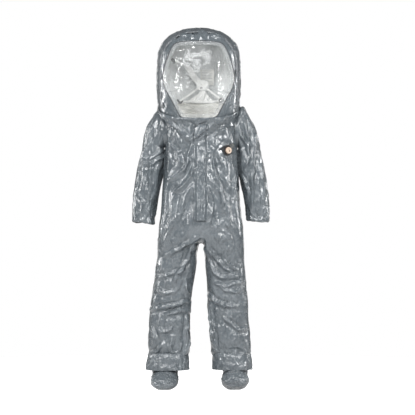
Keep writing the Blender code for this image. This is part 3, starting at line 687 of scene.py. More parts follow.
def woven_material(name, low, high, pitch=0.0012):
    """Webbing or cloth: crossed waves of yarn."""
    made, shader = new_material(name, high, Roughness=0.75, Specular_IOR_Level=0.3, Sheen_Weight=0.2)
    place = object_coordinates(made)
    heights = []
    for direction in ("X", "Z"):
        wave = node(made, "ShaderNodeTexWave", wave_type="BANDS", bands_direction=direction,
                    Scale=1.0 / pitch / 6.28, Distortion=0.6)
        link(made, place, wave.inputs["Vector"])
        heights.append(wave.outputs["Fac"])
    ramp(made, clouds(made, place, Scale=30.0, Detail=4.0), low, high, 0.3, 0.7, shader["Base Color"])
    bump(made, combined(made, "MAXIMUM", *heights), 0.0004, 0.7, shader["Normal"])


def visor_material():
    """Clear film that goes near-white in patches: partly the film's own milkiness, partly a painted reflection of the
    softboxes.
    """
    made, shader = new_material("visor_film", (0.80, 0.83, 0.84), Roughness=0.06, Specular_IOR_Level=1.0,
                                Coat_Weight=1.0, Coat_Roughness=0.03, Alpha=0.16)
    place = object_coordinates(made)
    # painted reflection: the near-white colour, stronger in cloudy patches, stands partly for milky film and partly
    # for the softboxes' reflection
    haze_and_painted_reflection = clouds(made, place, Scale=7.0, Detail=4.0, Roughness=0.6)
    link(made, map_range(made, haze_and_painted_reflection, 0.40, 0.70, 0.10, 0.26), shader["Alpha"])
    ripple = clouds(made, place, Scale=14.0, Detail=2.0, Distortion=0.5)
    bump(made, ripple, 0.004, 0.5, shader["Normal"])



def make_materials():
    film_material("suit_film", (0.082, 0.097, 0.108), (0.120, 0.138, 0.151))
    film_material("suit_tape", (0.070, 0.079, 0.087), (0.105, 0.116, 0.126), roughness=(0.34, 0.46), coat=0.3)
    film_material("hood_lining", (0.60, 0.62, 0.61), (0.74, 0.76, 0.75), roughness=(0.40, 0.55), coat=0.1)
    film_material("visor_band_film", (0.38, 0.40, 0.41), (0.52, 0.54, 0.55), roughness=(0.10, 0.20), Alpha=0.34)
    visor_material()
    plain_material("black_seam", (0.012, 0.012, 0.013), (0.030, 0.030, 0.032), 0.45)
    plain_material("moulded_black", (0.015, 0.015, 0.017), (0.034, 0.035, 0.037), 0.38)
    plain_material("soft_rubber", (0.012, 0.012, 0.013), (0.026, 0.026, 0.028), 0.62)
    plain_material("moulded_tan", (0.46, 0.36, 0.28), (0.60, 0.49, 0.40), 0.42)
    plain_material("dark_brown", (0.060, 0.032, 0.020), (0.100, 0.055, 0.036), 0.5)
    plain_material("nickel", (0.50, 0.49, 0.46), (0.66, 0.65, 0.62), 0.28, metallic=1.0)
    plain_material("label_print", (0.30, 0.31, 0.32), (0.42, 0.43, 0.44), 0.7)
    woven_material("white_webbing", (0.86, 0.86, 0.83), (0.96, 0.96, 0.93))
    woven_material("cream_cloth", (0.60, 0.59, 0.54), (0.80, 0.79, 0.74))
    woven_material("black_tape", (0.010, 0.010, 0.011), (0.030, 0.030, 0.032), pitch=0.0018)


make_materials()


def finish_piece(made, body, slot_name, *nodes):
    if nodes:
        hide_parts(*nodes)
    if body:
        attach(made, body)
    return made


# ---------------------------------------------------------------- trunk and legs
def front_share(points):
    """1 on the front of the suit, 0 behind."""
    return smoothstep(0.03, -0.03, points[:, 1])


def body_film():
    """The trunk and both legs in one mesh, so that folds run on across the hips."""
    trunk = trunk_grid(TRUNK, 3.0, CELL, TRUNK_HALF_SIDES)
    sides = trunk.shape[1]
    last = trunk[-1]
    halves = {1: last[:TRUNK_HALF_SIDES + 1], -1: np.vstack([last[:1], last[:TRUNK_HALF_SIDES - 1:-1]])}
    parts = [trunk.reshape(-1, 3)]
    faces = ring_faces(len(trunk), sides)
    first = len(trunk) * sides
    base = first - sides
    crotch = None
    for _, side in SIDES:
        grid = leg_grid(side, halves[side])
        count = grid.shape[1]
        if crotch is None:
            parts.append(grid[0][TRUNK_HALF_SIDES + 1:])
            crotch = list(range(first, first + count - TRUNK_HALF_SIDES - 1))
            first += len(crotch)
        top = [base + i * side % sides for i in range(TRUNK_HALF_SIDES + 1)] + crotch
        rest = grid[1:]
        parts.append(rest.reshape(-1, 3))
        for here in range(count):
            after = (here + 1) % count
            faces.append((top[here], first + here, first + after, top[after]))
        faces += ring_faces(len(rest), count, first)
        first += len(rest) * count
    points = np.vstack(parts)
    points[:, 0] += HOOD_LEAN * smoothstep(1.425, 1.494, points[:, 2] - points[:, 1] * NECK_SLOPE)
    made = object_from("body_film", points, faces, "suit_film")
    outward(made)
    return made


def bib_depth(points):
    """How far inside the V of loose cloth under the visor each point lies, negative outside it."""
    flat = points[:, [0, 2]] + 0.005 * np.stack([noise(points / 0.05, 84), noise(points / 0.05, 85)], axis=1)
    inside = np.full(len(points), 1.0)
    for start, end in zip(BIB, BIB[1:]):
        start, run = np.array(start), np.array(end) - np.array(start)
        up = np.array([-run[1], run[0]]) / np.linalg.norm(run)
        inside = np.minimum(inside, (flat - start) @ up)
    return inside


def calmness(points):
    """0 where the cloth is held by a seam, the zipper or a fitting, 1 where it is free."""
    x, y, z = points.T
    seam = TRUNK[0][0] + y * NECK_SLOPE
    calm = smoothstep(0.0, np.where(y < -0.12, 0.014, 0.050), seam - z) * smoothstep(0.125, 0.16, z)
    armhole = np.hypot(y, z - ARMHOLE_Z)
    calm *= np.where((np.abs(x) > 0.15) & (z < 1.46), smoothstep(0.080, 0.115, armhole), 1.0)
    front = y < 0.0
    zipper = smoothstep(FLAP_HALF - 0.007, FLAP_HALF - 0.0005, np.abs(x))
    below = smoothstep(-0.004, 0.008, FLAP_TOP - FLAP_LENGTH - z)
    above = smoothstep(-0.006, 0.004, z - FLAP_TOP - 0.004)
    calm *= np.where(front, np.maximum(np.maximum(zipper, below), above), 1.0)
    calm *= np.where(front, smoothstep(0.030, 0.055, np.hypot(x - PORT[0] + 0.012, z - PORT[1] - 0.008)), 1.0)
    calm *= np.where(front, 1.0, smoothstep(0.026, 0.050, np.hypot(np.abs(x) - VALVE[0], z - VALVE[1])))
    return calm


def front_relief(points):
    """How far the folds and the loose cloth under the visor lift the front."""
    bib = bib_depth(points)
    lip = smoothstep(0.0, 0.005, bib) * (1.0 - 0.6 * smoothstep(0.010, 0.06, bib))
    legs = 1.0 + 0.5 * smoothstep(0.86, 0.78, points[:, 2])
    return fold_height(points, FRONT_FOLDS, 1.0) * legs + 0.017 * lip


def fold_body(made):
    points = above_soles(made)
    front = front_share(points)
    facing = 0.45 + 0.55 * np.abs(vertex_normals(made)[:, 1])
    bib = smoothstep(0.0, 0.02, bib_depth(points)) * front
    rough = (0.0050 + 0.0060 * np.maximum(crumpled(points) * front, 1.1 * bib) + 0.003 * (1.0 - front)) * facing
    legs = smoothstep(0.80, 0.66, points[:, 2])
    broad = 0.0070 * noise(points / np.array([0.075, 0.12, 0.105]), 12) * legs * facing
    tuck = 0.0090 * smoothstep(0.825, 0.870, points[:, 2]) * smoothstep(0.055, 0.034, np.abs(points[:, 0])) * front
    depth = front_relief(points) * front + crinkle(points, 1.0, seed=3) * rough + broad + tuck + 0.001
    pushed(made, depth * calmness(points))


def make_body():
    made = body_film()
    fold_body(made)
    buckled(made, calmness(above_soles(made)) < 0.35, cap=0.011)
    subdivided(made)
    points = above_soles(made)
    front = front_share(points)
    low = smoothstep(0.80, 0.70, points[:, 2])
    sharp = (0.30 + 0.22 * low) * fold_height(points, FRONT_FOLDS, front, narrow=0.35)
    bib = smoothstep(0.0, 0.02, bib_depth(points)) * front
    fine = 0.40 + 0.85 * np.maximum(crumpled(points), bib) * front + 0.25 * low
    calm = calmness(points)
    pushed(made, sharp * calm)
    roughened(made, 0.0024, seed=5, grain=(0.022, 0.022, 0.045), calm=calm * fine)
    torso = keep_faces(made, "suit_torso", lambda x, y, z: z > HIP_SPLIT_Z)
    finish_piece(torso, None, "suit_grey", "torso_shell", "neck_gusset")
    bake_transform(torso)
    lining = keep_faces(made, "neck_lining",
                        lambda x, y, z: (z > 1.300) & (y > -0.120) & (z - y * NECK_SLOPE < 1.502))
    set_coordinates(lining, coordinates(lining) - vertex_normals(lining) * 0.0016)
    lining.data.materials[0] = MATERIALS["hood_lining"]
    finish_piece(lining, None, "white_liner")
    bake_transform(lining)
    for name, side in SIDES:
        pelvis = keep_faces(made, "suit_hip_" + name,
                            lambda x, y, z, side=side: (z <= HIP_SPLIT_Z) & (z > THIGH_SPLIT_Z) & (x * side > 0.0))
        finish_piece(pelvis, None, "suit_grey", "thigh_" + name, *(["crotch_gusset"] if side == 1 else []))
        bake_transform(pelvis)
        leg = keep_faces(made, "suit_leg_" + name, lambda x, y, z, side=side: (z <= THIGH_SPLIT_Z) & (x * side > 0.0))
        finish_piece(leg, None, "suit_grey", "knee_gusset_" + name, "shin_" + name)
        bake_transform(leg)
    bpy.data.objects.remove(made)


# ---------------------------------------------------------------- closure
def chest_points(x, z, stand):
    """Points that stand off the straight line of the chest's centre front."""
    y = np.interp(z, [row[0] for row in TRUNK[::-1]], [row[2] for row in TRUNK[::-1]])
    return np.stack([x, y - stand, z], axis=1)


def make_storm_flap():
    """The flap over the zipper: a strip of the suit's film, creased like the chest round it."""
    across = np.linspace(-FLAP_HALF, FLAP_HALF, 37)
    down = np.linspace(FLAP_TOP + 0.005, FLAP_TOP - FLAP_LENGTH + 0.007, 190)
    x, z = (part.ravel() for part in np.meshgrid(across, down))
    ends = smoothstep(0.0, 0.005, z - down[-1])
    dome = smoothstep(FLAP_HALF, 0.0145, np.abs(x))
    flat = chest_points(x, z, np.zeros(len(x)))
    relief = front_relief(flat) + crinkle(flat, 1.0, seed=3) * (0.0045 + 0.005 * crumpled(flat)) + 0.0012
    relief += 0.30 * fold_height(flat, FRONT_FOLDS, 1.0, narrow=0.35)
    stand = 0.0026 + 0.0104 * dome + np.maximum(relief, 0.0) * (0.3 + 0.7 * ends)
    made = object_from("storm_flap_film", chest_points(x, z, stand),
                       ring_faces(len(down), len(across), closed=False), "suit_film")
    walled(made, 0.0006)
    outward(made)
    finish_piece(made, "storm_flap", "suit_grey", "storm_flap")


def make_zipper_teeth():
    """The chain's moulded teeth, one row from each tape."""
    pitch, size = 0.0030, (0.0046, 0.0044, 0.0021, 1)
    work = bmesh.new()
    for number in range(int(0.462 / pitch)):
        for side in (1, -1):
            z = 1.361 - number * pitch - (pitch / 2.0 if side < 0 else 0.0)
            centre = chest_points(np.array([side * 0.0012]), np.array([z]), np.array([0.0028]))[0]
            place = Matrix.Translation((centre[0], centre[1], z + SOLE)) @ Matrix.Diagonal(size)
            bmesh.ops.create_cube(work, size=1.0, matrix=place)
    bmesh.ops.bevel(work, geom=list(work.edges), offset=0.0003, segments=1, affect="EDGES")
    mesh = bpy.data.meshes.new("zipper_teeth")
    work.to_mesh(mesh)
    work.free()
    mesh.materials.append(MATERIALS["nickel"])
    finish_piece(linked("zipper_teeth", mesh), "torso", "zip_metal", "zipper_chain")


# ---------------------------------------------------------------- air line port
def lathe(name, profile, place, material, sides=72, smooth=True):
    """Turns (radius, height) points round the place's Z axis."""
    angle = np.linspace(0.0, 2.0 * math.pi, sides + 1)[:-1]
    points = [place @ Vector((radius * math.cos(a), radius * math.sin(a), height))
              for radius, height in profile for a in angle]
    made = object_from(name, points, ring_faces(len(profile), sides), material, smooth, lift=0.0)
    outward(made, weld=True)
    if smooth:
        made.data.set_sharp_from_angle(angle=math.radians(35.0))
    return made


def plug(radius, low, high):
    """The profile of a solid cylinder."""
    return [(0.0, low), (radius, low), (radius, high), (0.0, high)]


def port_place():
    """The port's frame: origin on the chest, Z out of it, Y up."""
    low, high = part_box("port_cap")
    out = Vector((0.54658, -0.83741, 0.0))
    up = Vector((0.0, 0.0, 1.0))
    place = Matrix((up.cross(out), up, out)).transposed().to_4x4()
    place.translation = (low + high) / 2.0 - out * 0.01575
    return place


def make_port_cap():
    """The tan cap: fluted rim, a dished face and a keyhole for the hook of its spanner."""
    place = port_place()
    profile = [(0.0, 0.0112), (0.0160, 0.0112), (0.0168, 0.0118), (0.0170, 0.0180), (0.0162, 0.0194),
               (0.0148, 0.0203), (0.0132, 0.0204), (0.0122, 0.0196), (0.0, 0.0192)]
    made = lathe("port_cap_moulding", profile, place, "moulded_tan", sides=120)
    cutters = []
    for number in range(20):
        angle = 2.0 * math.pi * number / 20
        spot = place @ Matrix.Translation((0.0176 * math.cos(angle), 0.0176 * math.sin(angle), 0.0))
        cutters.append(lathe("flute", plug(0.0012, 0.0100, 0.0230), spot, None, sides=12, smooth=False))
    eye = place @ Matrix.Translation((0.0015, -0.0030, 0.0))
    slot = place @ Matrix.Translation((-0.0005, 0.0030, 0.0)) @ Matrix.Rotation(0.35, 4, "Z")
    slot = slot @ Matrix.Diagonal((0.20, 1.0, 1.0, 1.0))
    cutters.append(lathe("keyhole_eye", plug(0.0042, 0.0160, 0.0240), eye, None, sides=32, smooth=False))
    cutters.append(lathe("keyhole_slot", plug(0.0085, 0.0162, 0.0240), slot, None, sides=32, smooth=False))
    cut(made, cutters)
    made.data.set_sharp_from_angle(angle=math.radians(30.0))
    finish_piece(made, "port_cap", "tan_plastic", "port_cap")
    floor = lathe("keyhole_floor", plug(0.0100, 0.01665, 0.0163), place, "dark_brown", sides=40)
    finish_piece(floor, "port_cap", "tan_plastic")
    seal = lathe("port_cap_seal", [(0.0143, 0.0093), (0.0185, 0.0093), (0.0190, 0.0100), (0.0185, 0.0108),
                                   (0.0143, 0.0108), (0.0143, 0.0093)], place, "dark_brown")
    finish_piece(seal, "torso", "black_rubber")


# ---------------------------------------------------------------- what is seen inside the hood
def cloth_panel(name, nodes, outline, depths, material, relief, wall=0.0012):
    """A soft panel: outline rows of (height, left x, right x), its y at the lowest and highest row, its folds."""
    rows = np.array(outline)
    cell = 0.0035
    count_down = max(4, int((rows[-1, 0] - rows[0, 0]) / cell))
    count_across = max(4, int((rows[:, 2] - rows[:, 1]).max() / cell))
    z = np.linspace(rows[0, 0], rows[-1, 0], count_down)
    left, right = np.interp(z, rows[:, 0], rows[:, 1]), np.interp(z, rows[:, 0], rows[:, 2])
    x = (left[:, None] + (right - left)[:, None] * np.linspace(0.0, 1.0, count_across)).ravel()
    heights = np.repeat(z, count_across)
    amount, scale, seed = relief
    folds = amount * (creased(np.stack([x, np.zeros(len(x)), heights], axis=1), scale, seed) - 0.5)
    y = np.interp(heights, [rows[0, 0], rows[-1, 0]], depths) - folds
    made = object_from(name, np.stack([x, y, heights], axis=1), ring_faces(count_down, count_across, closed=False),
                       material)
    walled(made, wall)
    outward(made)
    subdivided(made)
    finish_piece(made, "hood", "white_liner", *nodes)


def strap(name, nodes, half_width, route, material="white_webbing", wall=0.0014):
    """A flat strap through the route's points (x, y, height), its width square to the run in the front view."""
    path = resample(np.array(route, float), 40)
    run = np.gradient(path, axis=0)
    sideways = np.stack([-run[:, 2], np.zeros(len(run)), run[:, 0]], axis=1)
    sideways /= np.linalg.norm(sideways, axis=1, keepdims=True)
    rows = []
    for share in np.linspace(-1.0, 1.0, 7):
        row = path + sideways * half_width * share
        row[:, 1] -= 0.0008 * (1.0 - share * share) + 0.0006 * noise(row / 0.012, 5)
        rows.append(row)
    made = object_from(name, np.vstack(rows), ring_faces(len(rows), len(path), closed=False), material)
    walled(made, wall)
    outward(made)
    finish_piece(made, "hood", "white_liner", *nodes)


def lump(name, nodes, centre, half, material, slot, square=2.6, turn=0.0, dents=0.0):
    """A rounded, slightly boxy body, as a padded or a moulded piece has."""
    u = np.linspace(-math.pi / 2.0, math.pi / 2.0, 25)
    v = np.linspace(-math.pi, math.pi, 49)[:-1]
    latitude, longitude = (part.ravel() for part in np.meshgrid(u, v, indexing="ij"))

    def power(value):
        return np.sign(value) * np.abs(value) ** (2.0 / square)
    local = np.stack([power(np.cos(latitude)) * power(np.cos(longitude)), power(np.sin(latitude)),
                      power(np.cos(latitude)) * power(np.sin(longitude))], axis=1) * np.array(half)
    if dents:
        local[:, 1] *= 1.0 + dents * noise(local / 0.012, 7)
    c, w = math.cos(turn), math.sin(turn)
    spun = local @ np.array([[c, 0.0, w], [0.0, 1.0, 0.0], [-w, 0.0, c]])
    made = object_from(name, spun + np.array(centre), ring_faces(len(u), len(v)), material)
    outward(made, weld=True)
    made.data.shade_smooth()
    finish_piece(made, "hood", slot, *nodes)


# name, replaced nodes, outline, y at its lower and upper edge, material, (amount, scale and seed of its folds), wall
PANELS = [
    ("neck_liner_cloth", ["neck_liner"],
     [(1.410, -0.100, 0.080), (1.424, -0.104, 0.084), (1.450, -0.108, 0.104), (1.480, -0.122, 0.116),
      (1.500, -0.128, 0.120), (1.512, -0.116, 0.108)],
     (0.010, 0.108), "cream_cloth", (0.016, (0.090, 1.0, 0.016), 101)),
    ("harness_cloth", [],
     [(1.513, -0.100, 0.086), (1.520, -0.066, 0.062), (1.536, -0.044, 0.046), (1.556, -0.014, 0.030),
      (1.572, -0.004, 0.022)],
     (0.098, 0.120), "white_webbing", (0.012, (0.030, 1.0, 0.060), 103)),
    ("size_label_cloth", ["size_label"], [(1.605, -0.004, 0.068), (1.690, -0.003, 0.069)],
     (0.188, 0.188), "cream_cloth", (0.0030, (0.060, 1.0, 0.050), 105), 0.0008),
]
# name, replaced nodes, half width, route
STRAPS = [
    ("harness_band", [], 0.0050,
     [(-0.116, 0.104, 1.516), (-0.060, 0.088, 1.512), (0.010, 0.084, 1.5105), (0.070, 0.090, 1.513),
      (0.106, 0.104, 1.520)]),
    ("harness_strap_right", ["head_strap_right"], 0.0042,
     [(-0.018, 0.122, 1.584), (-0.060, 0.112, 1.552), (-0.108, 0.097, 1.520)]),
    ("harness_strap_left", ["head_strap_left"], 0.0042,
     [(0.030, 0.122, 1.584), (0.066, 0.112, 1.556), (0.102, 0.098, 1.527)]),
    ("harness_strap_high", [], 0.0170,
     [(-0.008, 0.124, 1.612), (-0.034, 0.128, 1.640), (-0.056, 0.136, 1.676), (-0.076, 0.146, 1.704)]),
    ("harness_strap_high_end", [], 0.0045, [(-0.072, 0.146, 1.700), (-0.105, 0.120, 1.718), (-0.140, 0.076, 1.729)]),
]
CLIP = ("soft_rubber", "black_plastic")
# name, replaced nodes, centre, half sizes, material, slot, how boxy, turn, dents
LUMPS = [
    ("harness_pad", ["head_pad"], (0.008, 0.120, 1.601), (0.032, 0.0075, 0.028), "white_webbing", "white_liner",
     2.6, 0.0, 0.5),
    ("harness_pad_slot", [], (0.001, 0.1128, 1.587), (0.0065, 0.0012, 0.0024), "moulded_black", "black_plastic"),
    ("harness_clip_high", [], (-0.146, 0.070, 1.728), (0.0095, 0.0060, 0.0150), *CLIP, 3.2, 0.5),
    ("harness_clip_right", ["head_clip_right"], (-0.117, 0.092, 1.514), (0.0150, 0.0050, 0.0058), *CLIP, 3.2, -0.85),
    ("harness_clip_right_hook", [], (-0.103, 0.090, 1.511), (0.0120, 0.0045, 0.0042), *CLIP, 3.2, 0.75),
    ("harness_clip_left", ["head_clip_left"], (0.109, 0.092, 1.522), (0.0145, 0.0065, 0.0115), *CLIP, 3.4, 0.3),
    ("harness_clip_left_lock", [], (0.112, 0.086, 1.526), (0.0055, 0.0030, 0.0040), "nickel", "zip_metal", 2.6, 0.3),
]
LABEL_LINES = (0.050, 0.030, 0.056, 0.054, 0.044, 0.056, 0.036, 0.052, 0.028)


def make_hood_inside():
    """Head harness, label and the pale liner at the neck."""
    for row in PANELS:
        cloth_panel(*row)
    for row in STRAPS:
        strap(*row)
    for row in LUMPS:
        lump(*row)
    for number, length in enumerate(LABEL_LINES):
        top = 1.682 - number * 0.0082
        strap(f"label_line_{number}", [], 0.0010, [(0.004, 0.1862, top), (0.004 + length, 0.1862, top)],
              "label_print", wall=0.0003)


# ---------------------------------------------------------------- sleeves
def full_oval(half_a, half_b, square, count):
    return resample(oval(half_a, half_b, square, 0.0, 2.0 * math.pi, 241)[:-1], count, closed=True)


def sleeve_ring(side, centre, outward_axis, half_width, depth):
    flat = full_oval(half_width, depth, 2.15, SLEEVE_SIDES)
    return centre + flat[:, :1] * outward_axis + flat[:, 1:] * np.array([0.0, -side, 0.0])


def sleeve_grid(side):
    up = np.array([0.0, 0.0, 1.0])
    rings = [sleeve_ring(side, np.array([side * x, 0.0, ARMHOLE_Z]), up, 0.0905, 0.0905) for x in (0.176, 0.185)]
    angles = np.array([row[0] for row in SLEEVE_CAP])
    for angle in np.linspace(angles[0], 78.0, 26):
        width, depth = (np.interp(angle, angles, [row[i] for row in SLEEVE_CAP]) for i in (1, 2))
        width -= 0.010 * smoothstep(19.0, 9.0, angle) * (side < 0)
        lean = math.radians(angle)
        armpit = np.array([side * (ARMHOLE_X + 0.0035 * math.sin(lean)), 0.0, ARMHOLE_Z - 0.0915])
        run = np.array([side * math.sin(lean), 0.0, math.cos(lean)])
        rings.append(sleeve_ring(side, armpit + run * width / 2.0, run, width / 2.0, depth))
    heights = np.linspace(SLEEVE[0][0] - 0.012, SLEEVE[-3][0], int((SLEEVE[0][0] - SLEEVE[-3][0]) / CELL))
    heights = np.concatenate([heights, [0.884, 0.881, 0.879, 0.878]])
    for z, inner, outer, depth in zip(heights, *table_at(SLEEVE, heights)):
        centre = np.array([side * (inner + outer) / 2.0, 0.0, z])
        rings.append(sleeve_ring(side, centre, np.array([side, 0.0, 0.0]), (outer - inner) / 2.0, depth))
    return np.array(rings)


def make_sleeve(name, side):
    grid = sleeve_grid(side)
    count_rings, sides = grid.shape[:2]
    made = surface_from("suit_sleeve_" + name, grid, "suit_film")
    points = above_soles(made)
    ring = np.repeat(np.arange(count_rings), sides)
    calm = smoothstep(2.0, 9.0, ring) * smoothstep(-1.0, 3.0, count_rings - 1 - ring)
    depth = fold_height(points, SLEEVE_FOLDS, front_share(points))
    cuff = smoothstep(CUFF_HEM_Z + 0.075, CUFF_HEM_Z + 0.03, points[:, 2])
    depth += crinkle(points, 1.0, seed=13 + side) * 0.0052 + 0.006 * cuff * (creased(points, 0.030, 17 + side) - 0.5)
    moved = coordinates(made) + vertex_normals(made) * (depth * calm)[:, None]
    hem = smoothstep(CUFF_HEM_Z + 0.06, CUFF_HEM_Z, points[:, 2])
    lift = 0.006 * noise(points / 0.05, 19 + side) + side * 0.35 * (np.abs(points[:, 0]) - 0.30) * -0.25
    moved[:, 2] += hem * (lift + (0.010 if side == 1 else 0.002))
    set_coordinates(made, moved)
    buckled(made, ring < 4, cap=0.008)
    subdivided(made)
    points = above_soles(made)
    sharp = 0.30 * fold_height(points, SLEEVE_FOLDS, front_share(points), narrow=0.35)
    free = smoothstep(0.196, 0.235, np.abs(points[:, 0]))
    pushed(made, sharp * free)
    roughened(made, 0.0018, seed=23 + side, grain=(0.022, 0.022, 0.050), calm=free)
    finish_piece(made, None, "suit_grey", "upper_sleeve_" + name, "elbow_gusset_" + name, "forearm_sleeve_" + name,
                 "armhole_collar_" + name, "cuff_band_" + name)
    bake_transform(made)


# ---------------------------------------------------------------- hood
def hood_front_y(x, z):
    """The y of the hood's front surface at (x, height)."""
    row_z = z.copy()
    for _ in range(12):
        half, front, back, tilt = table_at(HOOD, row_z)
        middle, depth = (front + back) / 2.0, (back - front) / 2.0
        share = np.clip(1.0 - np.abs(x / half) ** 2.6, 0.0, 1.0) ** (1.0 / 2.6)
        y = middle - depth * share
        row_z = 0.5 * row_z + 0.5 * (z - y * np.tan(np.radians(tilt)))
    return y


def visor_outline(count):
    """The visor's outline with its corners cut, anticlockwise from the bottom centre, as (x, height)."""
    side = np.array(VISOR)
    points = np.vstack([side, side[-2:0:-1] * np.array([-1.0, 1.0])])
    for _ in range(2):
        after = np.roll(points, -1, axis=0)
        points = np.stack([0.75 * points + 0.25 * after, 0.25 * points + 0.75 * after], axis=1).reshape(-1, 2)
    return resample(points, count, closed=True)


def sideways_of(run):
    """The unit vector to the right of each run in the front view."""
    run = run / np.linalg.norm(run, axis=1, keepdims=True)
    return np.stack([run[:, 1], -run[:, 0]], axis=1)


def hood_points(flat, stand):
    """Points on the hood's front at flat (x, height), standing proud of it."""
    y = hood_front_y(flat[:, 0], flat[:, 1])
    return np.stack([flat[:, 0], y - stand, flat[:, 1]], axis=1)


def finish_hood(made, *names):
    """Finishes a piece of the hood, which stands a little to one side."""
    set_coordinates(made, coordinates(made) + np.array([HOOD_LEAN, 0.0, 0.0]))
    finish_piece(made, "hood", *names)


def face_forward(made):
    """Turns an open sheet's faces so that they look to the front."""
    outward(made)
    if vertex_normals(made)[:, 1].mean() > 0.0:
        made.data.flip_normals()


def outline_band(name, inner, outer, profile, material, ripple, seed):
    """A band that follows the visor's outline: profile lists (share across, stand) from inner to outer."""
    loop = visor_outline(300)
    sideways = sideways_of(np.roll(loop, -1, axis=0) - np.roll(loop, 1, axis=0))
    rows = []
    for share, stand in profile:
        flat = loop + sideways * (inner + (outer - inner) * share)
        lift = stand + ripple * noise(np.column_stack([flat, np.full(len(flat), share)]) / 0.03, seed)
        rows.append(hood_points(flat, lift))
    return surface_from(name, rows, material)


def free_of_rim(points):
    """0 at the hood's lower edge, 1 above it."""
    return smoothstep(0.012, 0.045, points[:, 2] - (HOOD[0][0] + points[:, 1] * NECK_SLOPE))


def make_hood():
    made = surface_from("hood_film", trunk_grid(HOOD, 2.6, 0.006, 84), "suit_film")
    points = above_soles(made)
    loop = visor_outline(200)
    near = np.min(np.linalg.norm(points[:, None, [0, 2]] - loop[None, :, :], axis=2), axis=1)
    front = smoothstep(0.02, -0.02, points[:, 1])
    calm = 1.0 - front * (1.0 - smoothstep(0.004, 0.018, near))
    calm *= free_of_rim(points) * (1.0 - 0.6 * smoothstep(1.855, 1.885, points[:, 2]))
    brow = smoothstep(1.815, 1.840, points[:, 2]) * smoothstep(0.150, 0.100, np.abs(points[:, 0])) * front
    depth = crinkle(points, 1.0, grain=(0.06, 0.06, 0.08), seed=33) * (0.0058 + 0.009 * brow)
    pushed(made, depth * calm)
    cut_visor(made)
    roughened(made, 0.0024, seed=37, calm=free_of_rim(above_soles(made)))
    shell = made.modifiers.new("Wall", "SOLIDIFY")
    shell.thickness = 0.0008
    shell.offset = -1.0
    made.data.materials.append(MATERIALS["hood_lining"])
    shell.material_offset = 1
    applied(made)
    finish_hood(made, "suit_grey", "hood_shell")


def cut_visor(made):
    """Removes what lies inside the visor's outline, exactly along it."""
    back = -0.06
    loop = visor_outline(220)
    points = [(x, y, z) for y in (-0.30, back) for x, z in loop]
    count = len(loop)
    faces = [tuple(range(count)), tuple(range(2 * count - 1, count - 1, -1))]
    faces += [(i, (i + 1) % count, count + (i + 1) % count, count + i) for i in range(count)]
    cutter = object_from("visor_cutter", points, faces, None, smooth=False)
    outward(cutter)
    cut(made, [cutter])
    work = bmesh.new()
    work.from_mesh(made.data)
    inner = [f for f in work.faces if abs(f.calc_center_median().y - back) < 0.0005 and abs(f.normal.y) > 0.999]
    bmesh.ops.delete(work, geom=inner, context="FACES")
    walls = [f for f in work.faces if len(f.verts) > 30]
    bmesh.ops.delete(work, geom=walls, context="FACES")
    work.to_mesh(made.data)
    work.free()
    made.data.shade_smooth()


def make_visor():
    """A clear sheet inside the outline, crumpled a little as thin film is, its welded border and the seam."""
    loop = visor_outline(240)
    centre = np.array([0.0, 1.64])
    rows = []
    for share in np.linspace(1.0, 0.02, 90):
        flat = centre + (loop - centre) * share
        points = hood_points(flat, 0.0)
        ripple = 0.0040 * noise(points / np.array([0.07, 0.2, 0.10]), 51)
        edge = smoothstep(0.55, 0.85, share) * 0.7 + 0.3
        ripple += 0.0022 * edge * (creased(points, (0.030, 0.2, 0.042), 53) - 0.5)
        for path, half_width, height in VISOR_FOLDS:
            distance, _ = path_distance(flat, path)
            ripple += height * np.exp(-1.3 * distance / half_width)
        points[:, 1] -= ripple * min(1.0, (1.0 - share) * 9.0)
        rows.append(points)
    made = surface_from("visor_sheet", rows, "visor_film", capped=True)
    face_forward(made)
    finish_hood(made, "clear_visor", "visor_lens")
    band = outline_band("visor_seam_band", -0.018, 0.0015,
                        [(0.0, 0.0006), (0.04, 0.0024), (0.12, 0.0022), (0.5, 0.0014), (0.80, 0.0024), (1.0, 0.0018)],
                        "visor_band_film", ripple=0.0014, seed=61)
    finish_hood(band, "clear_visor", "visor_frame")
    edge = outline_band("visor_dark_seam", 0.0010, 0.0048,
                        [(0.0, 0.0005), (0.2, 0.0026), (0.8, 0.0026), (1.0, -0.0005)],
                        "black_seam", ripple=0.0006, seed=63)
    finish_hood(edge, "black_rubber")


def make_face_seam():
    """The taped seam of the hood's face panel, as an arch over the visor."""
    half = resample(np.array(FACE_SEAM), 90)
    path = np.vstack([half[::-1], half[1:] * np.array([-1.0, 1.0])])
    sideways = sideways_of(np.gradient(path, axis=0))
    if sideways[0, 0] < 0.0:
        sideways = -sideways
    rows = []
    for offset, stand in ((-0.011, -0.0030), (-0.010, 0.0012), (-0.002, 0.0014), (0.000, 0.0030), (0.003, 0.0030),
                          (0.005, 0.0012), (0.010, 0.0008), (0.011, -0.0030)):
        lift = stand + 0.0010 * noise(np.column_stack([path, np.full(len(path), offset)]) / 0.02, 44)
        rows.append(hood_points(path + sideways * offset, lift))
    made = surface_from("face_seam_tape", rows, "suit_tape", closed=False)
    face_forward(made)
    finish_hood(made, "suit_grey")


# ---------------------------------------------------------------- boots
def make_boot_flap(name, side):
    table = BOOT_FLAP[side]
    heights = np.linspace(table[0][0], table[-1][0], 15)
    rings = [leg_section(side, *row) for row in zip(heights, *table_at(table, heights))]
    made = surface_from("splash_flap_" + name, rings, "suit_film")
    points = above_soles(made)
    flare = smoothstep(table[0][0], table[-1][0], points[:, 2])
    pushed(made, crinkle(points, 0.0095, grain=(0.030, 0.030, 0.06), seed=71 + side) * (0.2 + 0.8 * flare))
    walled(made, 0.0008)
    subdivided(made)
    roughened(made, 0.0026, seed=75 + side, grain=(0.014, 0.014, 0.018))
    finish_piece(made, "shin_" + name, "suit_grey", "boot_flap_" + name)


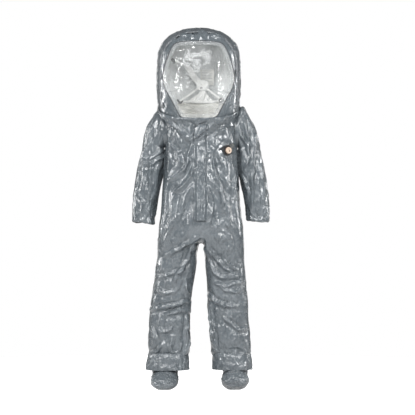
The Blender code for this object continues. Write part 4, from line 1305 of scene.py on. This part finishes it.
def make_bootie(name, side):
    """The sock boot: sections fan round the instep, then stand upright to the toe."""
    def section(middle, half, tall, up):
        flat = full_oval(half, tall / 2.0, 2.3, 96)
        return middle + flat[:, :1] * np.array([side, 0.0, 0.0]) + flat[:, 1:] * side * up
    rings = []
    centre_x = BOOTIE_CENTRE[side]
    fan = np.array(BOOTIE_FAN)
    for angle in np.linspace(fan[0, 0], fan[-1, 0], 44):
        length, half = (np.interp(angle, fan[:, 0], fan[:, i]) for i in (1, 2))
        lean = math.radians(angle)
        back = np.array([0.0, math.cos(lean), -math.sin(lean)])
        rings.append(section(np.array([centre_x, *INSTEP]) + back * (length / 2.0), half, length, back))
    toe = np.array(BOOTIE_TOE)[::-1]
    for y in np.concatenate([np.linspace(toe[-1, 0], -0.196, 18), np.linspace(-0.199, toe[0, 0], 8)]):
        top, bottom, half = (np.interp(y, toe[:, 0], toe[:, i]) for i in (1, 2, 3))
        middle = np.array([centre_x, y, (top + bottom) / 2.0])
        rings.append(section(middle, half, top - bottom, np.array([0.0, 0.0, -1.0])))
    made = surface_from("sock_boot_" + name, rings, "suit_film", capped=True)
    points = above_soles(made)
    lifted = smoothstep(0.004, 0.030, points[:, 2])
    depth = crinkle(points, 0.0130, grain=(0.045, 0.030, 0.026), seed=91 + side) * (0.10 + 0.90 * lifted)
    depth += 0.004 * (creased(points, (0.070, 0.022, 0.022), 97 + side) - 0.6) * lifted
    pushed(made, depth)
    subdivided(made)
    roughened(made, 0.0030, seed=95 + side, grain=(0.014, 0.012, 0.012))
    points = coordinates(made)
    points[:, 2] = np.maximum(points[:, 2], SOLE) + TOE_LIFT[side] * smoothstep(-0.02, -0.19, points[:, 1])
    set_coordinates(made, points)
    finish_piece(made, None, "suit_grey", "bootie_" + name, "ankle_gusset_" + name)
    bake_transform(made)


# ---------------------------------------------------------------- CAD pieces that stay
CAD_FINISHES = {
    "zipper_tape": "black_tape", "zipper_top": "nickel", "zipper_bottom": "nickel", "zipper_slider": "nickel",
    "zipper_pull": "nickel", "loop_strip": "black_tape", "hook_strip": "black_tape",
    "port_flange": "moulded_black", "port_barrel": "nickel", "port_nut": "moulded_black",
    "port_tether": "soft_rubber", "tether_anchor": "moulded_black", "tether_eyelet": "nickel",
    "valve_disc": "soft_rubber", "valve_": "moulded_black",
}


def dress_cad_nodes():
    for name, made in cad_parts.items():
        for start, finish in CAD_FINISHES.items():
            if name.startswith(start):
                for slot in made.material_slots:
                    slot.link = "OBJECT"
                    slot.material = MATERIALS[finish]
                break


# ---------------------------------------------------------------- light, floor and camera
def make_stage():
    bpy.context.scene.view_settings.view_transform = "Standard"
    world = bpy.data.worlds.new("pale_room")
    bpy.context.scene.world = world
    world.use_nodes = True
    tree = world.node_tree
    light = tree.nodes["Background"]
    white = node(world, "ShaderNodeBackground")
    for made, colour, strength in ((light, (0.55, 0.56, 0.57, 1.0), 0.20), (white, (1.0, 1.0, 1.0, 1.0), 1.0)):
        made.inputs["Color"].default_value = colour
        made.inputs["Strength"].default_value = strength
    mix = node(world, "ShaderNodeMixShader")
    link(world, node(world, "ShaderNodeLightPath").outputs["Is Camera Ray"], mix.inputs["Fac"])
    link(world, light.outputs["Background"], mix.inputs[1])
    link(world, white.outputs["Background"], mix.inputs[2])
    link(world, mix.outputs["Shader"], tree.nodes["World Output"].inputs["Surface"])
    material, shader = new_material("pale_floor", (0.80, 0.80, 0.80), Roughness=0.8,
                                    Emission_Color=(1.0, 1.0, 1.0, 1.0))
    seen = node(material, "ShaderNodeLightPath")
    link(material, seen.outputs["Is Camera Ray"], shader["Emission Strength"])
    angle = np.linspace(0.0, 2.0 * math.pi, 65)[:-1]
    points = np.stack([3.0 * np.cos(angle), 3.0 * np.sin(angle), np.full(64, -0.030)], axis=1)
    object_from("floor", points, [tuple(range(64))], "pale_floor", smooth=False)


# name, place, aim height, size, power: narrow upright softboxes for the streaks of light on the film, a broad weak
# one in front, and a panel and two strips behind
LIGHTS = [
    ("left_softbox", (-2.3, -3.4, 0.9), -0.5, (0.30, 1.8), 105.0),
    ("right_softbox", (2.5, -3.2, 0.7), -0.5, (0.30, 1.8), 90.0),
    ("front_softbox", (-0.6, -5.0, 1.8), -0.5, (2.4, 1.2), 110.0),
    ("top_softbox", (0.2, -1.6, 2.9), -0.3, (1.0, 0.4), 55.0),
    ("rear_panel", (0.0, 5.0, 0.3), -0.5, (4.2, 2.6), 42.0),
    ("side_left_strip", (-3.4, 1.1, 0.2), -0.5, (0.35, 2.0), 55.0),
    ("side_right_strip", (3.4, 1.1, 0.2), -0.5, (0.35, 2.0), 55.0),
]
CAMERA_DISTANCE, VIEW_WIDTH = 11.0, 2.175


def make_lights():
    for name, place, aim, size, power in LIGHTS:
        data = bpy.data.lights.new(name, "AREA")
        data.shape = "RECTANGLE"
        data.size, data.size_y = size
        data.energy = power
        made = linked(name, data)
        made.location = place
        made.rotation_euler = (Vector((0.0, 0.0, aim)) - Vector(place)).to_track_quat("-Z", "Y").to_euler()


def make_camera():
    data = bpy.data.cameras.new("camera")
    made = linked("camera", data)
    data.angle = 2.0 * math.atan(VIEW_WIDTH / 2.0 / CAMERA_DISTANCE)
    made.location = (0.034, -CAMERA_DISTANCE, 0.954 + SOLE)
    made.rotation_euler = (math.radians(90.0), 0.0, 0.0)
    bpy.context.scene.camera = made


make_camera()
make_body()
for side_label, side_sign in SIDES:
    make_sleeve(side_label, side_sign)
    make_boot_flap(side_label, side_sign)
    make_bootie(side_label, side_sign)
make_hood()
make_visor()
make_face_seam()
make_hood_inside()
make_storm_flap()
make_zipper_teeth()
make_port_cap()
dress_cad_nodes()
make_stage()
make_lights()
